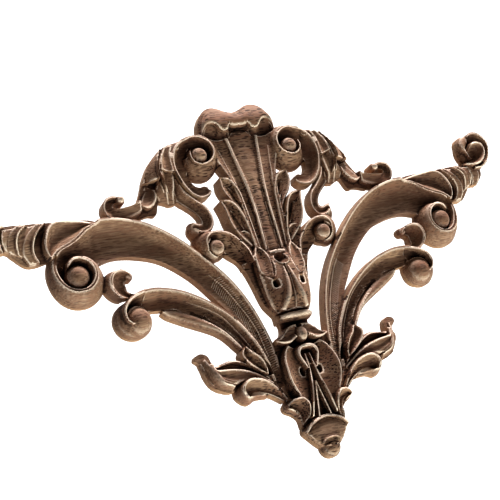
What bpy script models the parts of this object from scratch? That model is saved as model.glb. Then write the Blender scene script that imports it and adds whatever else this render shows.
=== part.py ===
"""Carved wood applique: a symmetrical openwork relief with a flat back, one solid piece of wood.

The plan is drawn in millimetres: x is the distance from the axis of symmetry, z is up with 0 at the
dip of the plume, and h is the height of the carved surface over the flat back. Each feature is a
patch between two curves, laid on a fine grid of heights. The grid then becomes a closed mesh with
vertical walls, and it stands in metres with the back on y = 0 and the front toward -Y.
"""

import math

import bmesh
import bpy
import numpy as np
from mathutils.geometry import delaunay_2d_cdt

# Driving dimensions, in metres
WIDTH = 0.1945
PLAN_WIDTH = 194.5
SCALE = WIDTH / PLAN_WIDTH
ORIGIN_Z = -62.0

# Heights over the back, in millimetres
EDGE = 1.5
FLOOR = 2.0
LOW = 3.2
RIM = 5.6
PEAK = 9.2

# Widths of the rims, in millimetres
FINE_RIM = 0.5
BROAD_RIM = 0.7

# The grid of heights, in millimetres
CELL = 0.1
X_MAX = 101.0
Z_MIN = -121.0
Z_MAX = 4.0
VOID = -1.0e6
SOFTNESS = 0.34

# Fineness of the solid, in millimetres
OUTLINE_SOFTNESS = 0.16
OUTLINE_ERROR = 0.16
SMALLEST_HOLE = 7.0
OUTLINE_STEP = 2.6
AXIS_STEP = 2.0
POINT_GAP = 0.55
INNER_POINTS = 1180
ROUNDS = 9

WOOD_COLOR = (0.42, 0.26, 0.18, 1.0)
WOOD_ROUGHNESS = 0.75

columns = int(round(X_MAX / CELL)) + 1
rows = int(round((Z_MAX - Z_MIN) / CELL)) + 1
height = np.full((rows, columns), VOID)


def curve(points, count):
    """A smooth curve through the points, as evenly spaced samples."""
    given = np.array(points, float)
    ends = np.vstack([2 * given[0] - given[1], given, 2 * given[-1] - given[-2]])
    s = np.linspace(0, 1, 40, endpoint=False)[:, None]
    pieces = []
    for i in range(1, len(ends) - 2):
        a, b, c, d = ends[i - 1 : i + 3]
        cubic = 3 * (b - c) + d - a
        pieces.append(b + 0.5 * s * (c - a + s * (2 * a - 5 * b + 4 * c - d + s * cubic)))
    pieces.append(given[-1:])
    path = np.vstack(pieces)
    along = np.concatenate([[0], np.cumsum(np.hypot(*np.diff(path, axis=0).T))])
    at = np.linspace(0, along[-1], count)
    return np.stack([np.interp(at, along, path[:, k]) for k in (0, 1)], axis=1)


def length(path):
    return np.hypot(*np.diff(path, axis=0).T).sum()


def vary(value, t):
    """A value along a feature: one number, or several spread evenly and joined smoothly."""
    value = np.atleast_1d(np.array(value, float))
    if len(value) < 3:
        return np.interp(t, np.linspace(0, 1, len(value)), value)
    ends = np.concatenate([[2 * value[0] - value[1]], value, [2 * value[-1] - value[-2]]])
    place = np.clip(t, 0, 1) * (len(value) - 1)
    i = np.minimum(place.astype(int), len(value) - 2)
    s = place - i
    a, b, c, d = ends[i], ends[i + 1], ends[i + 2], ends[i + 3]
    return b + 0.5 * s * (c - a + s * (2 * a - 5 * b + 4 * c - d + s * (3 * (b - c) + d - a)))


def spiral(center, start, end, radii, count=40):
    """Points on a spiral, from one angle to another in degrees, with radii spread evenly along it."""
    t = np.linspace(0, 1, count)
    angle = np.radians(start + (end - start) * t)
    radius = vary(radii, t)
    return np.stack([center[0] + radius * np.cos(angle), center[1] + radius * np.sin(angle)], axis=1)


def beside(points, widths, count=48):
    """A curve at a varying distance to the right of another one, or to its left where negative."""
    path = curve(points, count)
    way = np.gradient(path, axis=0)
    way /= np.hypot(*way.T)[:, None]
    reach = vary(widths, np.linspace(0, 1, count))[:, None]
    return path + reach * np.stack([way[:, 1], -way[:, 0]], axis=1)


def put(x, z, h, mode):
    """Lays heights on the grid: raised to them, set to them, cut down to them or changed by them."""
    i = np.rint((Z_MAX - z) / CELL).astype(int).ravel()
    j = np.rint(np.abs(x) / CELL).astype(int).ravel()
    h = np.broadcast_to(h, x.shape).ravel()
    inside = (i >= 0) & (i < rows) & (j < columns)
    i = i[inside]
    j = j[inside]
    h = h[inside]
    top, left = i.min(), j.min()
    layer = np.full((i.max() + 1 - top, j.max() + 1 - left), VOID)
    if mode == "groove":
        np.maximum.at(layer, (i - top, j - left), -h)
    else:
        np.maximum.at(layer, (i - top, j - left), h)
    area = height[top : top + layer.shape[0], left : left + layer.shape[1]]
    seen = layer > VOID / 2
    solid = area > VOID / 2
    if mode == "raise":
        new = np.maximum(area, layer)
    elif mode == "set":
        new = layer
    elif mode == "cut":
        new = np.minimum(area, layer)
        seen &= solid
    elif mode == "groove":
        new = area - layer
        seen &= solid
    else:
        new = area + layer
        seen &= solid
    area[seen] = new[seen]


def patch(first, second, form, mode="raise"):
    """A patch ruled between two curves; form gives its height from t along, u across and the width w."""
    a = curve(first, 300)
    b = curve(second, 300)
    n = max(8, int(max(length(a), length(b)) / (0.6 * CELL)))
    m = max(6, int(np.hypot(*(b - a).T).max() / (0.6 * CELL)))
    a = curve(first, n)
    b = curve(second, n)
    t, u = np.meshgrid(np.linspace(0, 1, n), np.linspace(0, 1, m), indexing="ij")
    x = a[:, :1] + (b[:, :1] - a[:, :1]) * u
    z = a[:, 1:] + (b[:, 1:] - a[:, 1:]) * u
    w = np.broadcast_to(np.hypot(*(b - a).T)[:, None], x.shape)
    put(x, z, form(t, u, w), mode)


def band(points, widths, form, mode="raise"):
    """A patch that starts on a curve and reaches a varying width to its right."""
    patch(points, beside(points, widths), form, mode)


def disc(center, radius, form, mode="raise", tall=None):
    """A round or oval patch; form gives its height from u, 0 at the middle and 1 at the edge."""
    tall = tall or radius
    n = max(20, int(2 * math.pi * max(radius, tall) / (0.6 * CELL)))
    m = max(5, int(max(radius, tall) / (0.6 * CELL)))
    angle, u = np.meshgrid(np.linspace(0, 2 * math.pi, n), np.linspace(0, 1, m), indexing="ij")
    put(center[0] + radius * u * np.cos(angle), center[1] + tall * u * np.sin(angle), form(u), mode)


def stroke(points, width, amount, mode="add"):
    """A rounded ridge or groove of a varying width along a curve."""
    n = max(8, int(length(curve(points, 200)) / (0.6 * CELL)))
    t = np.linspace(0, 1, n)
    half = vary(width, t) / 2
    path = curve(points, n)
    way = np.gradient(path, axis=0)
    way /= np.hypot(*way.T)[:, None] + 1e-9
    u = np.linspace(-1, 1, max(5, int(2 * half.max() / (0.5 * CELL))))
    x = path[:, :1] + way[:, 1:] * half[:, None] * u
    z = path[:, 1:] - way[:, :1] * half[:, None] * u
    size = vary(amount, t)[:, None]
    if mode == "raise":
        put(x, z, size - 0.5 * u * u, mode)
    else:
        put(x, z, size * np.cos(u * math.pi / 2), mode)


def flat(level):
    """A level patch, with its height varying along it."""
    return lambda t, u, w: vary(level, t) + 0 * u


def cove(rim, floor, far, edge=BROAD_RIM, deep=0.4):
    """A trough: a raised rim along the first curve, deepest near it, rising gently to the second."""

    def form(t, u, w):
        r, f, e = vary(rim, t), vary(floor, t), vary(far, t)
        d = u * w
        fall = np.clip((d - edge) / np.maximum(w * deep, 1e-6), 0, 1)
        rise = np.clip((d - edge - w * deep) / np.maximum(w * (1 - deep) - edge, 1e-6), 0, 1)
        h = f + (r - f) * (1 - fall) ** 2.2 + (e - f) * rise ** 1.6
        return np.where(d < edge, r - 0.35 * (1 - d / edge) ** 2, h)

    return form


def hollow(first, second, floor, edge=FINE_RIM, middle=0.5, power=1.8):
    """A concave leaf between two rims."""

    def form(t, u, w):
        near = u < middle
        side = np.where(near, vary(first, t), vary(second, t))
        part = np.where(near, middle, 1 - middle) * w
        d = np.where(near, u, 1 - u) * w
        s = np.clip((d - edge) / np.maximum(part - edge, 1e-6), 0, 1)
        f = vary(floor, t)
        h = f + (side - f) * (1 - s) ** power
        return np.where(d < edge, side - 0.35 * (1 - d / edge) ** 2, h)

    return form


def slope(top, foot, power=1.7):
    """A rounded slope from the first curve down to the second."""
    return lambda t, u, w: vary(top, t) - (vary(top, t) - vary(foot, t)) * u**power


def swell(edge, top, power=0.6):
    """A rounded rib between its two edges."""

    def form(t, u, w):
        return vary(edge, t) + (vary(top, t) - vary(edge, t)) * (1 - (2 * u - 1) ** 2).clip(0, 1) ** power

    return form


def dome(foot, top, power=0.5):
    """A ball or a boss."""
    return lambda u: foot + (top - foot) * (1 - u * u).clip(0, 1) ** power


def level(value):
    return lambda u: value + 0 * u


def big_arch():
    """The main scroll: a coved arch that ends in a volute with a ball at its eye."""
    rim = [(9.0, -94), (9.4, -86), (10.3, -78), (13.4, -66.8), (18.3, -57.2), (25.9, -47.9), (33.1, -40.9),
           (41.4, -35.3), (49.4, -32.6), (55.6, -32.2), (60.0, -34.2), (63.4, -36.8), (66.6, -38.6),
           (69.6, -39.8), (71.6, -41.4)]
    inner = [(12.2, -94), (14.0, -86), (17.2, -76), (20.2, -69.5), (23.7, -63.9), (30.2, -55), (38.3, -48.2),
             (46.5, -45.3), (53, -44.6), (57.5, -45.5), (60.2, -46.4), (62.2, -44.6), (65, -43.8),
             (67.6, -44.2), (69.6, -45.6)]
    floor = [2.4, 2.4, FLOOR, FLOOR, 1.9, 1.9]
    patch(rim, inner, cove([3.4, 4.0, 4.4, 5.0, RIM, 5.8, 6, 6], floor, [3, LOW, LOW, LOW, 3.6]))
    middle = (66.1, -48.8)
    eye = (66.1, -49.2)
    rims = [5.6, 5.6, 6.4, 7.0, 7.2, 7.0, 6.8]
    volute = spiral(middle, 53, -338, [9.2, 6.4, 5.5, 5.3, 5.3, 5.5, 5.5, 3.6])
    disc((66.0, -49.6), 7.4, level(FLOOR))
    band(volute[:31], [-0.8, -1.6, -2.7, -4.0, -4.0, -3.1, -1.2], slope(rims, [EDGE, 1.2]))
    turn = spiral(eye, 42, -332, [4.6, 3.7, 3.3, 3.3, 3.3, 3.1, 2.6])
    patch(volute[2:], turn, cove(rims, FLOOR, FLOOR, 0.9, 0.5), "set")
    disc((66.2, -49.2), 4.0, dome(2.4, 7.7), "set")


def lower_arch():
    """The second scroll, which ends in a full ball, and the long lobe under it."""
    rim = [(11.9, -92), (12.6, -86), (15.0, -78.5), (20, -70.4), (26.6, -64.1), (34.4, -59.2), (41.8, -56.9),
           (47, -56.7), (50.6, -57.9), (53.4, -60.2)]
    inner = [(14.0, -92), (16.0, -86), (20.0, -79), (24.5, -72.5), (31, -67.3), (38, -64.1), (44, -63.3),
             (47.2, -63), (49.0, -62.2), (50.6, -61.4)]
    floor = [2.2, FLOOR, FLOOR, 2.2, 3]
    patch(rim, inner, cove([3.4, 4, 4.8, 5.2, 5.8, 6.4], floor, [LOW, LOW, 3, 3.4], 0.9, 0.45))
    disc((52.3, -64.8), 5.9, dome(1.4, 6.2, 0.55))
    hook = [(47, -56.8), (51.2, -58.1), (54.5, -60.4), (55.7, -63.0), (55.3, -65.3), (54.0, -66.6),
            (52.6, -66.8)]
    turn = spiral((51.2, -65.4), 122, -46, [4.6, 4.4, 3.8, 3.0])
    lifted = [6.1, 6.8, 7.6, 7.6, 7.2, 6.4]
    patch(hook, turn, cove(lifted, [3, 2.6, 3.0, 5.0], [3.4, 3, 5.0], 0.8, 0.45), "set")
    disc((51.2, -65.7), 4.7, dome(1.6, 7.8, 0.5))
    stroke(hook, 0.6, [6.0, 6.6, 7.4, 7.7, 7.6, 7.0], "raise")
    stroke([(12, -84), (13.5, -75), (16, -68), (20, -60), (24, -54.5)], 0.6, [0.2, 0.5, 0.5, 0.2])
    stroke([(15, -85), (18.2, -77.5), (23, -70), (28, -65.6), (34, -62)], 0.6, [0.2, 0.5, 0.5, 0.2])
    upper = [(16.6, -86), (20.5, -79.0), (25, -72.8), (31.5, -67.4), (38, -64.2), (42.0, -63.4)]
    lower = [(18.4, -85), (22.2, -79.2), (26.8, -74), (35.7, -69.2), (41, -66.2), (43.0, -64.3)]
    patch(upper, lower, swell([2.2, 1.8], [3.2, 4.4, 4.4, 3.8]))



def side_hook():
    """The small open curl between the big volute and the ball."""
    rim = [(49.6, -51.2), (50.8, -49.8), (53.2, -49.2), (55.8, -50.0), (57.1, -52.4), (56.9, -54.8),
           (55.8, -56.8), (54.2, -58)]
    inner = [(49.6, -51.6), (50.5, -52.2), (51.5, -52.7), (52.1, -53.5), (51.9, -54.6), (52.0, -55.6),
             (51.0, -56.7), (49.0, -57.5)]
    disc((50.3, -51.0), 1.5, dome(EDGE, 4.4))
    patch(rim, inner, hollow([4.4, 5.6, 6.2, 6.2, 5.6, 5], [3.4, 3.2, 3.4, 3.8, 4], 2.8, FINE_RIM, 0.7))
    band(rim[2:], [-0.5, -1.1, -1.6, -1.5, -1.0, -0.4], slope([6.0, 6.2, 6, 5], [EDGE]))


def plume():
    """The fluted plume, with a leaf edge down each side and a rolled lip on top."""
    bead = [(6.0, -8), (5.3, -11.4), (4.2, -19.6), (3.2, -27), (2.8, -33), (2.7, -38), (2.8, -45),
            (2.9, -51.5)]
    outer = [(13.4, -8), (12.0, -14), (10.9, -18.5), (8.8, -24), (7.4, -32), (6.9, -41), (6.6, -52)]
    patch([(0, -8), (0, -52)], bead, lambda t, u, w: 3.0 + 1.8 * np.sqrt((1 - u * u).clip(0, 1)), "set")
    patch(bead, outer, hollow(4.4, [5.2, 5.4, 5.2], [3.9, 4.0, 4.1], 0.5, 0.4, 1.4))
    stroke(bead, [1.2, 1.3, 1.1, 1.0], [5.4, 5.3, 5.5, 5.5, 5.0], "raise")
    stroke(beside(bead, [0.9, 0.85, 0.8]), 0.7, [0.3, 0.6, 0.6, 0.4], "groove")
    stroke([(9.2, -14), (7.6, -22), (6.3, -30), (5.4, -40), (4.7, -50)], [0.5, 0.9, 1.0, 0.8],
           [0.2, 0.5, 0.6, 0.5])
    leaves = [
        ([(6.0, -37), (5.8, -32), (7.0, -27.5), (9.0, -24.6), (12.3, -23.9)],
         [(6.6, -38), (8.9, -34), (11.2, -31), (12.6, -27.6), (12.4, -24.1)], 6.2, 2.0),
        ([(6.0, -48), (6.6, -42), (8.2, -36.5), (10.8, -32.6), (14.5, -31.9)],
         [(7.6, -48), (11.6, -43.6), (13.4, -39.6), (14.0, -35.6), (14.8, -32.3)], 7.0, 2.4),
        ([(5.8, -52), (5.6, -46), (8.2, -42.8), (10.4, -43.0)],
         [(8.2, -52), (9.6, -49), (10.8, -47), (11.4, -44.3)], 5.6, 1.6),
    ]
    for first, second, top, deep in leaves:
        floor = [top - 0.6 - deep, top - deep - 0.3, top - deep, top - 0.7]
        patch(first, second, hollow([4.8, top - 0.5, top], [4.8, top - 0.4, top], floor, 0.4, 0.35, 1.3))
    stroke([(9.7, -27.4), (8.6, -30.4), (6.9, -34)], [0.4, 0.9, 0.4], [0.8, 2.4, 0.8], "groove")
    stroke([(11.7, -35.4), (10.3, -38.6), (8.5, -42.0)], [0.4, 0.9, 0.4], [0.8, 2.6, 0.8], "groove")
    top = [(0, -0.7), (1.6, -0.3), (3.4, 0.5), (5.2, 1.4), (7.2, 1.75), (9.2, 1.3), (11, 0.1), (12.6, -2),
           (13.7, -4.6), (14.2, -8.4)]
    lip = [(0, -6.4), (1.6, -6.4), (2.9, -6.1), (3.5, -6.0), (4.2, -7.4), (5.8, -7.9), (7.2, -7.3),
           (8.4, -5.7), (9.8, -4.9), (11.2, -5.3), (12.4, -6.8), (13.0, -8.8)]
    roll = [7.4, 7.4, 7.6, 7.4, 6.6, 4.6]
    drop = [3.6, 4.0, 3.2, 2.2]
    patch(top, lip, lambda t, u, w: vary(roll, t) - vary(drop, t) * (1 - u) ** 2.4 - 1.5 * u**5, "set")
    under = [(0, -7.6), (1.6, -7.6), (3.0, -8.2), (4.2, -9.6), (6, -10.0), (7.8, -10.0), (9.6, -9.8),
             (11, -9.4), (12.2, -9.2), (13.0, -9.4)]
    pit = [3.9, 3.8, 3.8, 3.2, 2.4, 2.4, 2.6]
    bend = [9, 7, 2.4, 2.4, 4]
    patch(lip, under, lambda t, u, w: vary(pit, t) + (5.4 - vary(pit, t)) * (1 - u) ** vary(bend, t), "set")
    stroke([(3.3, -4.6), (3.5, -7), (4.0, -9.6)], [0.6, 1.0, 0.7], [0.1, 0.5, 0.4], "groove")


def upper_scroll():
    """The scroll beside the plume, with its ball, and the coved band that hooks under it."""
    middle = (16.5, -14.0)
    eye = (16.7, -15.2)
    volute = spiral(middle, 65, 385, [6.0, 5.2, 5.0, 4.9, 4.85, 4.95, 4.2, 3.0])
    rim = [(15.6, -8.8), (19, -8.5), (22.8, -9.8), (25.4, -12.2), (26.8, -15.6), (27, -19), (26.3, -22.4),
           (25, -25.6), (22.8, -28.5), (20, -29.9), (17, -29.3), (15.6, -27.8)]
    inner = [(16.6, -11.4), (18.6, -11.6), (19.9, -13.3), (20.3, -15.4), (20.6, -17), (21.2, -18.8),
             (21.7, -20.4), (21.6, -22.6), (20.4, -24.8), (18.8, -25.6), (17.4, -25.4), (16.0, -26.0)]
    disc((16.6, -15.2), 6.3, level(FLOOR))
    floor = [2.2, 2.4, 2.6, 3.0, 3.0]
    patch(rim, inner, cove([6.4, 6.2, 6, 6, 5.4, 4.4], floor, [2.8, 3, 3, LOW, 3.6], 0.8, 0.45))
    flare = [-1.6, -3.6, -4.0, -3.0, -2.4, -2.2, -1.6]
    band(volute[34:3:-1], flare, slope([5.2, 6.4, 6.6], [1.6, 1.4, 2.6], 1.6))
    turn = spiral(eye, 60, 392, [3.4, 2.8, 2.7, 2.7, 2.7, 2.7, 2.6, 2.3])
    gap = [2.2, 2.4, 3.2, 4.4]
    patch(volute, turn, cove([6.4, 6.8, 7, 7, 6.8, 6.6], gap, gap, 0.6, 0.5), "set")
    disc(eye, 3.1, dome(3, 7.3, 0.5), "set")


def shoulder_leaves():
    """The overlapping leaves outside the upper scroll, the stem that leaves them and its curl."""
    patch([(22, -9.2), (27, -10.3), (31.2, -12.8), (34.4, -16), (37.0, -20), (37.9, -22)],
          [(24, -10.8), (26.6, -14), (27.4, -20), (27.4, -25), (27.8, -29.2), (30.2, -29.9)], flat(2.1))
    patch([(37.9, -22), (39.6, -25.4), (41.6, -28.2), (43.6, -29.6), (45.4, -30.0)],
          [(30.2, -29.9), (33.6, -28.4), (35.7, -32.4), (38.6, -32.3), (43, -33.5)], flat(2.1))
    patch([(22, -9.2), (27, -10.3), (31.2, -12.8), (34.4, -16), (37.0, -20), (37.9, -22)],
          [(23, -12.2), (27, -13.2), (30.4, -15.4), (32.6, -18.2), (34.8, -21.0), (36.2, -22.4)],
          lambda t, u, w: 4.0 + 1.4 * u)
    patch([(26.6, -11.4), (27.4, -18), (27.8, -28.6)], [(31.4, -13.6), (33.4, -20), (31.8, -28.4)],
          flat([4.4, 4.6, 2.6]), "set")
    vein = [(29.4, -11.4), (31.2, -14.4), (32.2, -18), (32.6, -21.8)]
    patch(vein, [(30.6, -12.3), (33.7, -15.4), (36.2, -19), (37.2, -22.0)],
          slope([5.6, 6.2, 6.2], [4.4, 4.0, 3.2], 1.5), "set")
    patch([(32.3, -21.6), (33.2, -23.0), (34.8, -23.6), (37.0, -22.4)],
          [(32.4, -22.4), (33.4, -24.0), (35.2, -24.8), (37.6, -23.6)], flat(2.6), "set")
    patch([(34.0, -24.4), (34.6, -27.2), (36.2, -29.7), (38.4, -30.7), (40.3, -29.8)],
          [(36.8, -23.6), (38.4, -25.6), (39.6, -27.4), (40.2, -28.2), (40.6, -28.8)],
          hollow([3.6, 4.8, 5.0, 4.8], [2.6, 3.0, 3.4], [2.8, 3.2, 3.8], 0.6, 0.6), "set")
    patch([(31.9, -21.8), (31.6, -25), (30.9, -29.4)], [(33.8, -23.6), (34.2, -26.4), (33.4, -28.4)],
          lambda t, u, w: vary([5.2, 4.4, 2.4], t) - 1.6 * u**1.5 * (1 - t), "set")
    patch([(27.3, -20.0), (27.9, -24), (28.6, -27), (28.4, -29.4)],
          [(31.4, -18.6), (32.0, -22), (31.6, -25), (31.2, -29.4)],
          hollow([5.2, 5.2, 4.6, 2.4], [5.8, 5.8, 5.0, 2.6], [4.2, 4.2, 3.8, 2.3], 0.5, 0.6, 1.3), "set")
    patch([(25.2, -10.6), (26.6, -13.6), (27.0, -17), (27.0, -20.1)],
          [(28.2, -10.9), (30.0, -13.6), (31.0, -16.4), (31.4, -18.6)],
          hollow([6.0, 6.2], [5.8, 6.2], [5.2, 5.0, 5.4], 0.5, 0.5, 1.4), "set")
    stroke([(29.0, -11.2), (30.8, -15), (31.8, -19), (31.5, -23), (30.2, -27)], 0.7, [0.1, 1.4, 1.2, 0.4],
           "groove")
    stroke([(30.4, -12.6), (32.4, -17), (33.0, -21), (31.9, -26)], 0.6, [0.1, 1.2, 1.2, 0.4], "groove")
    outer = [(40.6, -32.0), (43, -33.0), (47, -33.7), (50.4, -33.1), (52.6, -31.2), (53.2, -28.7),
             (52.0, -26.2), (49.8, -25.3), (47.6, -25.6), (46.3, -26.7)]
    inner = [(40.4, -27.4), (42, -28.6), (44, -29.3), (46, -29.6), (48.0, -29.7), (49.6, -29.3),
             (50.0, -28.3), (49.3, -27.6), (47.8, -27.4), (46.4, -27.5)]
    patch(outer, inner, cove([1.8, 3.0, 3.6, 4.6, 5.4, 5.4, 4.8], [4.6, 4.6, 4.2, 3.4, 3.2],
                             [5.4, 5.6, 5.4, 4.6, 4.4], 0.5, 0.3))
    disc((46.9, -26.7), 1.5, dome(3.6, 6.0))
    disc((48.0, -28.5), 1.2, level(2.0), "cut", 0.6)


def inner_stem():
    """The stem that drops from the shoulder leaves and hooks onto the side volute."""
    rim = [(27.2, -20.6), (25.4, -26), (22.2, -30.0), (19.6, -32.5), (18.4, -35), (18.1, -37.5),
           (18.7, -39.5), (20.3, -41.1), (22.8, -41.1), (24.7, -39.6)]
    inner = [(28.8, -26), (27.8, -29.2), (25.5, -31.3), (23.5, -33.2), (22.3, -35), (21.8, -36.6),
             (22.0, -37.4), (22.8, -37.8), (23.8, -37.6), (25.1, -37.2)]
    floor = [2.6, 2.6, 2.8, 3]
    patch(rim, inner, hollow([5, 5.2, 5.2, 5, 4.6], [2.8, 3, 3, 3.6, 4.4], floor, FINE_RIM, 0.6, 2.0))
    patch([(23, -41.2), (24.8, -39.8), (25.3, -37.4)], [(25.6, -42.6), (26.8, -39.8), (25.8, -36.9)],
          slope(4, 1.6))


def side_volute():
    """The small volute on each side of the calyx."""
    eye = (19.6, -46.6)
    rim = [(8.2, -53), (9.5, -48.6), (11.6, -45.7), (14.2, -43.1), (17, -41.9), (20, -41.6), (22.2, -42.6),
           (23.2, -44.6), (22.8, -46.8), (21.6, -48.8)]
    inner = [(11.8, -55), (12.4, -53.2), (13.4, -51.8), (14.9, -50.5), (16.4, -49.0), (17.4, -47.0),
             (18.4, -45.2), (19.6, -44.8), (20.5, -45.8), (20.7, -47.2)]
    disc((19.7, -46.0), 4.3, level(2.2))
    patch(rim, inner, cove([6, 6, 6.4, 6.4, 6, 5.6], [2.4, 2.4, 3.0, 4.0], [2.6, 3.0, 4.0], 0.5, 0.45))
    band(rim[5:] + [(19.4, -49.2)], [-0.8, -2.7, -3.2, -2.8, -2.2, -1.2], slope([5.8, 5.4, 4.4], 1.6))
    disc(eye, 2.8, dome(3.2, 6.6, 0.5), "set")


def calyx():
    """The bud under the plume: two bulging leaves with drop holes, a tongue between them and a collar."""
    axis = [(0, -50.2), (0, -56), (0, -61), (0, -66), (0, -72.5)]
    side = [(7.8, -50.2), (8.4, -54), (8.5, -58), (8.3, -62), (7.9, -66), (7.1, -69.4), (5.6, -72.3)]
    skirt = [(12.2, -53.2), (10.9, -57), (9.9, -61), (9.1, -65), (8.2, -68.2), (5.6, -72.3)]
    patch([(6, -52), (6, -62), (5, -72.3)], skirt, flat([3.0, 2.8, 3.2, 3.6]))
    crest = [4.4, 7.6, 8.8, PEAK, 8.8, 6.2]
    foot = [4.0, 5.6, 5.4, 4.6]
    patch(axis, side, lambda t, u, w: vary(crest, t) - (vary(crest, t) - vary(foot, t)) * u**2.6, "set")
    patch([(6.0, -48.6), (4.6, -50.4), (3.9, -53.6), (4.2, -57), (5.3, -59.6)],
          [(6.6, -48.6), (7.8, -51.0), (8.2, -54), (8.1, -57.4), (6.3, -59.9)],
          hollow([5.6, 6.8, 7.4, 8.0], [5.2, 6.2, 6.6, 7.4], [4.9, 5.3, 6.4, 7.5], 0.4, 0.6, 1.2), "set")
    disc((0, -53.6), 3.0, lambda u: 3.0 + 5.4 * u**2.6, "cut", 2.9)
    stroke([(0, -51.2), (1.2, -51.3), (2.6, -51.0)], 0.9, [7.0, 7.0, 6.6], "raise")
    disc((4.7, -62.3), 1.0, level(5.2), "cut", 1.5)
    stroke([(4.5, -60.0), (4.7, -61.6)], [0.4, 1.3], [1.0, 2.6], "groove")
    stroke([(0.9, -57.5), (1.2, -61), (1.7, -64.4), (2.7, -67.8), (4.4, -71.2)], [0.5, 1.1, 1.5, 1.8, 1.6],
           [0.6, 1.4, 1.9, 2.0, 1.4], "groove")
    stroke([(0, -55), (0, -61), (0, -71)], [0.5, 0.6, 0.5], [0.6, 1.0, 0.9, 0.6])
    patch([(0, -71.6), (5.9, -71.8)], [(0, -74.7), (5.9, -74.4)],
          lambda t, u, w: 3.6 + 4.4 * np.sqrt((1 - (2 * u - 1) ** 2).clip(0, 1)) - 2.6 * t**4, "set")


def heart():
    """The body below the collar: a small flower, a hood with drop holes and two leaves folded round ribs."""
    patch([(0, -74), (0, -107)], [(5.2, -74), (4.9, -75.8), (5.6, -78), (7.8, -79.4), (9.4, -84), (9.8, -90),
                                  (9.0, -98), (7.4, -104), (7.6, -108)], flat(2.6))
    patch([(2.2, -83.6), (1.6, -90), (2.4, -97), (4.4, -104.6)],
          [(6.0, -82), (7.8, -84.1), (9.0, -87), (9.5, -90.4), (9.3, -93.6), (8.4, -96.4), (7.4, -98.8),
           (5.8, -105)],
          hollow([4.4, 4.6], [5.4, 6.4, 7.6, 7.2, 6.4, 5.4], [4.0, 4.8, 4.4], 0.5, 0.35, 1.4))
    patch([(0.8, -75.8), (3.7, -76.3), (5.8, -78.1), (7.6, -79.4), (9.4, -79.9)],
          [(1.2, -79.8), (3.0, -80.8), (4.6, -81.6), (6.6, -81.6), (9.4, -80.6)],
          hollow([5.6, 5.2], [6.6, 6.4, 5.4], [5.0, 4.8], 0.5, 0.6, 1.4), "set")
    disc((0, -79.4), 2.0, dome(4.6, 7.8, 0.6), "set", 2.6)
    patch([(0, -82.4), (2.2, -82.9), (3.8, -84.2), (4.0, -86.2), (3.2, -88.4), (2.2, -90.6)],
          [(0, -84.2), (1.8, -84.5), (2.5, -86), (2.0, -87.8), (1.4, -89.4), (1.2, -90.8)],
          swell(4.6, 6.6), "set")
    patch([(0, -84.2), (1.8, -84.6), (2.4, -86)], [(0, -89.6), (0.6, -89.2), (1.2, -88.6)],
          lambda t, u, w: 2.6 + 2.6 * u**1.4, "set")
    stroke([(0.8, -85.6), (1.0, -90), (1.7, -95), (2.9, -100), (4.3, -105.6)], [0.6, 0.65, 0.7, 0.6],
           [5.6, 6.6, 6.9, 6.0], "raise")
    stroke([(0, -94.6), (2.1, -105.8)], [0.6, 0.6], [5.8, 5.6], "raise")
    stroke([(0.1, -86), (0.2, -92.5)], 0.5, [0.4, 1.2, 0.6], "groove")
    disc((3.0, -91.2), 0.8, level(2.2), "cut", 1.3)


def cup():
    """The bell at the foot, with the ball under it."""
    brim = [(0, -105.4), (3.0, -106.1), (5.8, -107.4), (8.0, -109.4)]
    base = [(0, -115.6), (1.6, -115.6), (3.2, -115.2), (4.7, -113.9)]

    def bell(t, u, w):
        face = 2.6 + 2.2 * (1 - (2 * u - 1) ** 2).clip(0, 1) ** 0.5
        return np.where(u * w < 1.0, 5.4 - 0.4 * (1 - u * w) ** 2, face) - 1.0 * t**3

    patch(brim, base, bell, "set")
    patch([(6.6, -107), (7.9, -108.8), (7.9, -110.0)], [(4, -110), (4.2, -112), (4.7, -113.9)], flat(2.0))
    disc((0, -115.4), 3.4, dome(1.6, 4.8))
    stroke([(0, -112.8), (1.7, -113.0), (3.4, -114.0)], 0.8, 1.1, "groove")
    stroke([(1.0, -115.2), (2.3, -115.0)], 0.5, 1.0, "groove")


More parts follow.
